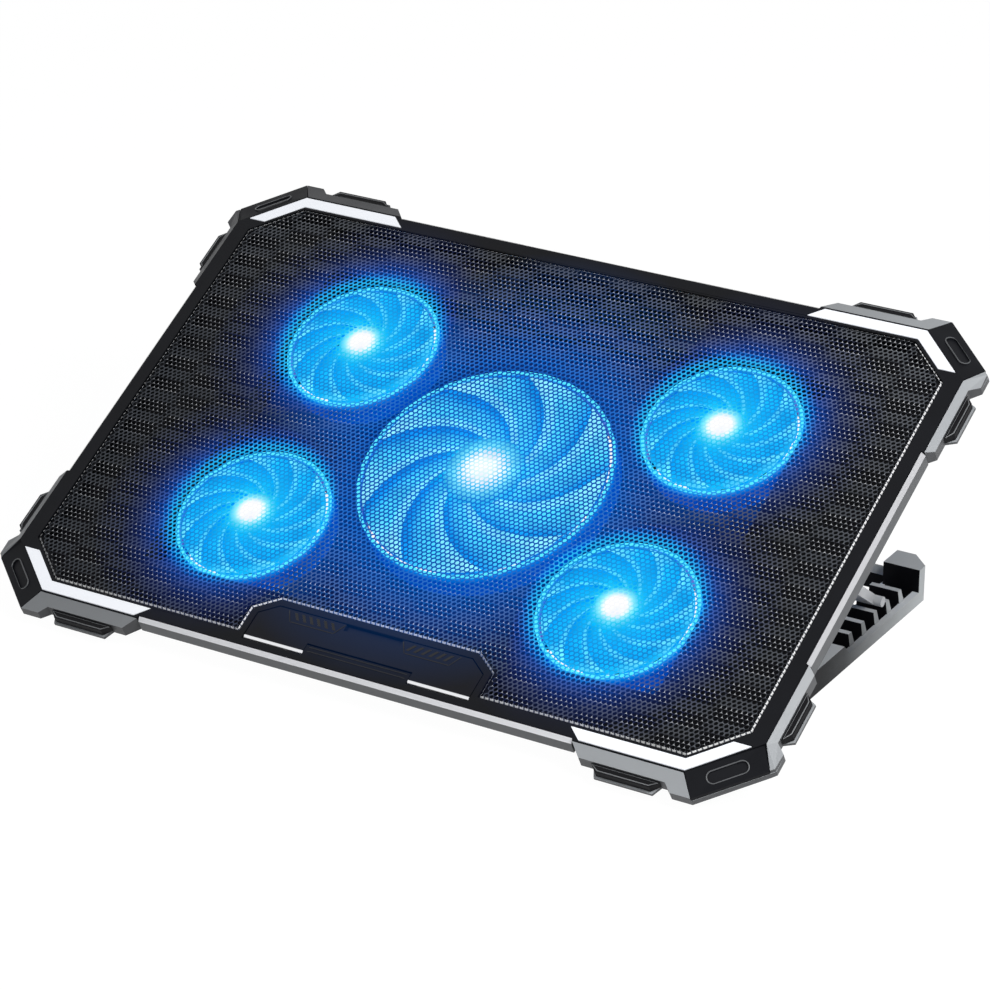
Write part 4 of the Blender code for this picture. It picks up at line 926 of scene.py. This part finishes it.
def add_blade(bm, radius, hub, blades, number, layer):
    """One wide swept blade, as a grid of points from hub to rim."""
    chord = math.tau / blades * BLADE_OVERLAP
    root = hub * BLADE_ROOT
    grid = []
    for step in range(BLADE_STEPS + 1):
        share = step / BLADE_STEPS
        at = root + (radius - root) * share
        middle = math.tau * number / blades + BLADE_SWEEP * share ** BLADE_BEND
        line = []
        for mark in range(BLADE_CHORDS + 1):
            across = mark / BLADE_CHORDS
            part = across - 0.5
            angle = middle + part * chord * (1 + CHORD_SPREAD * (1 - share))
            height = BLADE_HEIGHT + part * BLADE_PITCH * (1 - PITCH_WASH * share)
            vert = bm.verts.new((at * math.cos(angle), at * math.sin(angle), height))
            vert[layer] = petal_shade(across, share)
            line.append(vert)
        grid.append(line)
    for low, high in zip(grid, grid[1:]):
        for i in range(BLADE_CHORDS):
            bm.faces.new((low[i], high[i], high[i + 1], low[i + 1]))


def add_hub(bm, hub, layer):
    """The rotor's hub, a dome on a straight wall."""
    rings = []
    profile = [(share, HUB_TOP - drop) for share, drop in HUB_DOME]
    for share, height in profile + [(1.0, HUB_FOOT)]:
        ring = []
        for side in range(HUB_SIDES):
            angle = math.tau * side / HUB_SIDES
            vert = bm.verts.new((hub * share * math.cos(angle), hub * share * math.sin(angle), height))
            vert[layer] = HUB_SHADE
            ring.append(vert)
        rings.append(ring)
    tip = bm.verts.new((0, 0, HUB_TOP))
    for side in range(HUB_SIDES):
        after = (side + 1) % HUB_SIDES
        bm.faces.new((tip, rings[0][side], rings[0][after]))
        for low, high in zip(rings, rings[1:]):
            bm.faces.new((low[side], high[side], high[after], low[after]))
    bm.faces.new(list(reversed(rings[-1])))


def rotor_mesh(radius, hub, blades):
    """Hub and overlapping swept blades of a rotor, lying under the mesh."""
    bm = bmesh.new()
    layer = bm.verts.layers.float.new("petal")
    for number in range(blades):
        add_blade(bm, radius, hub, blades, number, layer)
    bmesh.ops.solidify(bm, geom=bm.faces[:], thickness=BLADE_THICK)
    add_hub(bm, hub, layer)
    return finished_mesh("rotor", bm)


def make_rotors():
    for name, (x, y, radius, hub, blades) in FANS.items():
        place = PAD_TO_ROW @ Matrix.Translation(Vector((x, y, 0)) * MM)
        size = "large" if name == "centre" else "small"
        material = rotor_material(f"fan_light_{name}", size, radius)
        mesh = rotor_mesh(radius, hub, blades)
        rotor = add_piece(f"rotor_{name}", mesh, material, f"fan_{name}", place)
        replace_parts(rotor, f"fan_rotor_{name}")


def add_bar(bm, corners):
    """A low raised bar on the stopper's top face, drawn in a little at its top."""
    middle = sum((Vector(corner) for corner in corners), Vector((0, 0))) / len(corners)
    foot = [bm.verts.new((x, y, LINE_FOOT)) for x, y in corners]
    top = []
    for x, y in corners:
        inner = middle + (Vector((x, y)) - middle) * BAR_TAPER
        top.append(bm.verts.new((inner.x, inner.y, LINE_TOP)))
    bm.faces.new(top)
    count = len(corners)
    for i in range(count):
        after = (i + 1) % count
        bm.faces.new((foot[i], foot[after], top[after], top[i]))


def add_line(bm, start, end):
    """A fine raised line on the stopper's top face."""
    start, end = Vector(start), Vector(end)
    along = (end - start).normalized()
    across = Vector((-along.y, along.x)) * LINE_WIDTH / 2
    add_bar(bm, [start - across, end - across, end + across, start + across])


def make_louvres():
    """Slanted ridges on each side of the stopper's finger scoop, each group in an outlined panel."""
    bm = bmesh.new()
    for sign in (-1, 1):
        middle = sign * LOUVRE_MIDDLE
        for number in range(LOUVRE_COUNT):
            x = middle + (number - (LOUVRE_COUNT - 1) / 2) * LOUVRE_PITCH
            corners = []
            for end, edge in ((-1, -1), (-1, 1), (1, 1), (1, -1)):
                lean = end * sign * LOUVRE_SLANT / 2
                corners.append((x + lean + edge * LOUVRE_WIDTH / 2, LOUVRE_Y + end * LOUVRE_DEPTH / 2))
            add_bar(bm, corners)
        foot = [(middle + end * PANEL_HALF, PANEL_FRONT) for end in (-1, 1)]
        head = [(middle + end * (PANEL_HALF + PANEL_SPREAD), PANEL_REAR) for end in (-1, 1)]
        add_line(bm, *foot)
        for low, high in zip(foot, head):
            add_line(bm, low, high)
    mesh = finished_mesh("stopper_louvres", bm)
    add_piece("stopper_louvres", mesh, RIDGE_BLACK, "stopper")


def make_knuckle_lines():
    """Two fine ridges along the frame's knuckle in the stopper's front notch."""
    bm = bmesh.new()
    for depth in KNUCKLE_LINES:
        add_line(bm, (-KNUCKLE_HALF, STOP_FRONT + depth), (KNUCKLE_HALF, STOP_FRONT + depth))
    add_piece("knuckle_lines", finished_mesh("knuckle_lines", bm), RIDGE_BLACK)


def pocket_place(signs):
    """Place of a corner pocket: along the cut, down the slope and out of it."""
    along = Vector((signs[0] * CUT_X, -signs[1] * CUT_Y, 0)).normalized()
    out = Vector((signs[0] * CUT_Y, signs[1] * CUT_X, 0)).normalized()
    down = (out * (TOE_OUT + SLOPE_OUT) / 2 - Vector((0, 0, TOE_DROP))).normalized()
    normal = along.cross(down)
    if normal.z < 0:
        along, normal = -along, -normal
    place = Matrix((along, down, normal)).transposed().to_4x4()
    x = HALF_X - CUT_X / 2 + FLANGE_REACH[0] / 2
    y = HALF_Y - CUT_Y / 2 + FLANGE_REACH[1] / 2
    place.translation = Vector((signs[0] * x, signs[1] * y, -TOE_DROP / 2 - POCKET_SINK))
    return place


def loop_tube(path, radius, sides=8):
    """A closed round bead along a loop of points, millimetres."""
    bm = bmesh.new()
    up = Vector((0, 0, 1))
    rings = []
    for before, here, after in zip(path[-1:] + path[:-1], path, path[1:] + path[:1]):
        ahead = ((here - before).normalized() + (after - here).normalized()).normalized()
        out = ahead.cross(up)
        ring = []
        for side in range(sides):
            turn = math.tau * side / sides
            ring.append(bm.verts.new(here + radius * (out * math.cos(turn) + up * math.sin(turn))))
        rings.append(ring)
    for low, high in zip(rings, rings[1:] + rings[:1]):
        for side in range(sides):
            after = (side + 1) % sides
            bm.faces.new((low[side], low[after], high[after], high[side]))
    return bm


def make_pocket_rims():
    """A fine raised rim round the oblong pocket in each corner face, its grey a painted highlight."""
    straight = (POCKET_LENGTH - POCKET_WIDTH) / 2
    radius = (POCKET_WIDTH + POCKET_RIM) / 2
    path = []
    for end in (1, -1):
        for step in range(POCKET_ARC + 1):
            angle = math.pi * step / POCKET_ARC - math.pi / 2
            path.append(end * Vector((straight + radius * math.cos(angle), radius * math.sin(angle), 0)))
    for name, signs in CORNERS.items():
        bm = loop_tube(path, POCKET_RIM)
        bmesh.ops.transform(bm, matrix=pocket_place(signs), verts=bm.verts)
        add_piece(f"pocket_rim_{name}", finished_mesh("pocket_rim", bm), RIM_HIGHLIGHT_GREY)


def make_tab_rims():
    """A fine light edge round the top of each tab pad."""
    for name, (sign_x, sign_y) in CORNERS.items():
        for side, (middle, half) in TABS.items():
            inner, reach = half - TAB_RIM_INSET, TAB_REACH - TAB_RIM_INSET
            outline = [
                (-inner, TAB_RIM_INSET), (inner, TAB_RIM_INSET),
                (inner - TAB_SLANT, reach), (-inner + TAB_SLANT, reach),
            ]
            path = []
            for along, out in outline:
                if side == "long":
                    place = (sign_x * (middle + along), sign_y * (HALF_Y + SLOPE_OUT + out))
                else:
                    place = (sign_x * (HALF_X + SIDE_SLOPE_OUT + out), sign_y * (middle + along))
                path.append(Vector((*place, TAB_TOP)))
            mesh = finished_mesh("tab_rim", loop_tube(path, TAB_RIM))
            add_piece(f"tab_rim_{side}_{name}", mesh, TAB_EDGE)


def background_shader(tree, shader_out, plain, seen):
    """Mixes a plain surface with a bright one for rays that see the background."""
    path = tree.nodes.new("ShaderNodeLightPath")
    total = path.outputs["Is Camera Ray"]
    for name in ("Is Glossy Ray", "Is Transmission Ray"):
        add = tree.nodes.new("ShaderNodeMath")
        add.operation = "MAXIMUM"
        tree.links.new(total, add.inputs[0])
        tree.links.new(path.outputs[name], add.inputs[1])
        total = add.outputs[0]
    mix = tree.nodes.new("ShaderNodeMixShader")
    tree.links.new(total, mix.inputs[0])
    tree.links.new(plain, mix.inputs[1])
    tree.links.new(seen, mix.inputs[2])
    tree.links.new(mix.outputs[0], shader_out)


def make_world():
    """A faint sky that lights the object, and white where it is seen."""
    world = bpy.data.worlds.new("studio")
    bpy.context.scene.world = world
    world.use_nodes = True
    tree = world.node_tree
    plain = tree.nodes["Background"]
    plain.inputs["Color"].default_value = row(SKY_COLOUR)
    plain.inputs["Strength"].default_value = SKY_STRENGTH
    seen = tree.nodes.new("ShaderNodeBackground")
    seen.inputs["Color"].default_value = row(WHITE)
    background_shader(tree, tree.nodes["World Output"].inputs["Surface"], plain.outputs[0], seen.outputs[0])


def make_floor():
    """A white floor that keeps the object's shadow."""
    mesh = bpy.data.meshes.new("floor")
    bm = bmesh.new()
    bmesh.ops.create_grid(bm, x_segments=1, y_segments=1, size=FLOOR_HALF)
    bm.to_mesh(mesh)
    bm.free()
    material = bpy.data.materials.new("floor_white")
    material.use_nodes = True
    tree = material.node_tree
    diffuse = tree.nodes["Principled BSDF"]
    diffuse.inputs["Base Color"].default_value = row(FLOOR_GREY)
    diffuse.inputs["Roughness"].default_value = FLOOR_ROUGHNESS
    glow = tree.nodes.new("ShaderNodeEmission")
    glow.inputs["Strength"].default_value = FLOOR_LIGHT
    both = tree.nodes.new("ShaderNodeMixShader")
    both.inputs[0].default_value = FLOOR_LIGHT_SHARE
    tree.links.new(diffuse.outputs[0], both.inputs[1])
    tree.links.new(glow.outputs[0], both.inputs[2])
    out = tree.nodes["Material Output"].inputs["Surface"]
    background_shader(tree, out, diffuse.outputs[0], both.outputs[0])
    mesh.materials.append(material)
    floor = bpy.data.objects.new("floor", mesh)
    bpy.context.scene.collection.objects.link(floor)


def make_light(name, place, aim, size, power):
    lamp = bpy.data.lights.new(name, "AREA")
    lamp.shape = "RECTANGLE"
    lamp.size, lamp.size_y = size
    lamp.energy = power
    made = bpy.data.objects.new(name, lamp)
    bpy.context.scene.collection.objects.link(made)
    made.location = place
    made.rotation_euler = (Vector(aim) - Vector(place)).to_track_quat("-Z", "Y").to_euler()


def make_camera():
    camera = bpy.data.cameras.new("camera")
    camera.sensor_width = SENSOR
    camera.lens = FOCAL_PIXELS / IMAGE_PIXELS * SENSOR
    camera.clip_end = CLIP_END
    made = bpy.data.objects.new("camera", camera)
    bpy.context.scene.collection.objects.link(made)
    right = PAD_TURN.to_3x3() @ CAMERA_RIGHT
    up = PAD_TURN.to_3x3() @ -CAMERA_DOWN
    turn = Matrix((right, up, right.cross(up))).transposed().to_4x4()
    made.matrix_world = Matrix.Translation(PAD_TO_ROW @ (CAMERA_PLACE * MM)) @ turn
    bpy.context.scene.camera = made


make_camera()
paint_frame()
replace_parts(make_mesh_sheet(), "mesh_grille")
make_mesh_skirt()
make_rotors()
make_louvres()
make_knuckle_lines()
make_pocket_rims()
make_tab_rims()
make_world()
make_floor()
for light, settings in LIGHTS.items():
    make_light(light, **settings)
bpy.context.scene.view_settings.view_transform = "Standard"
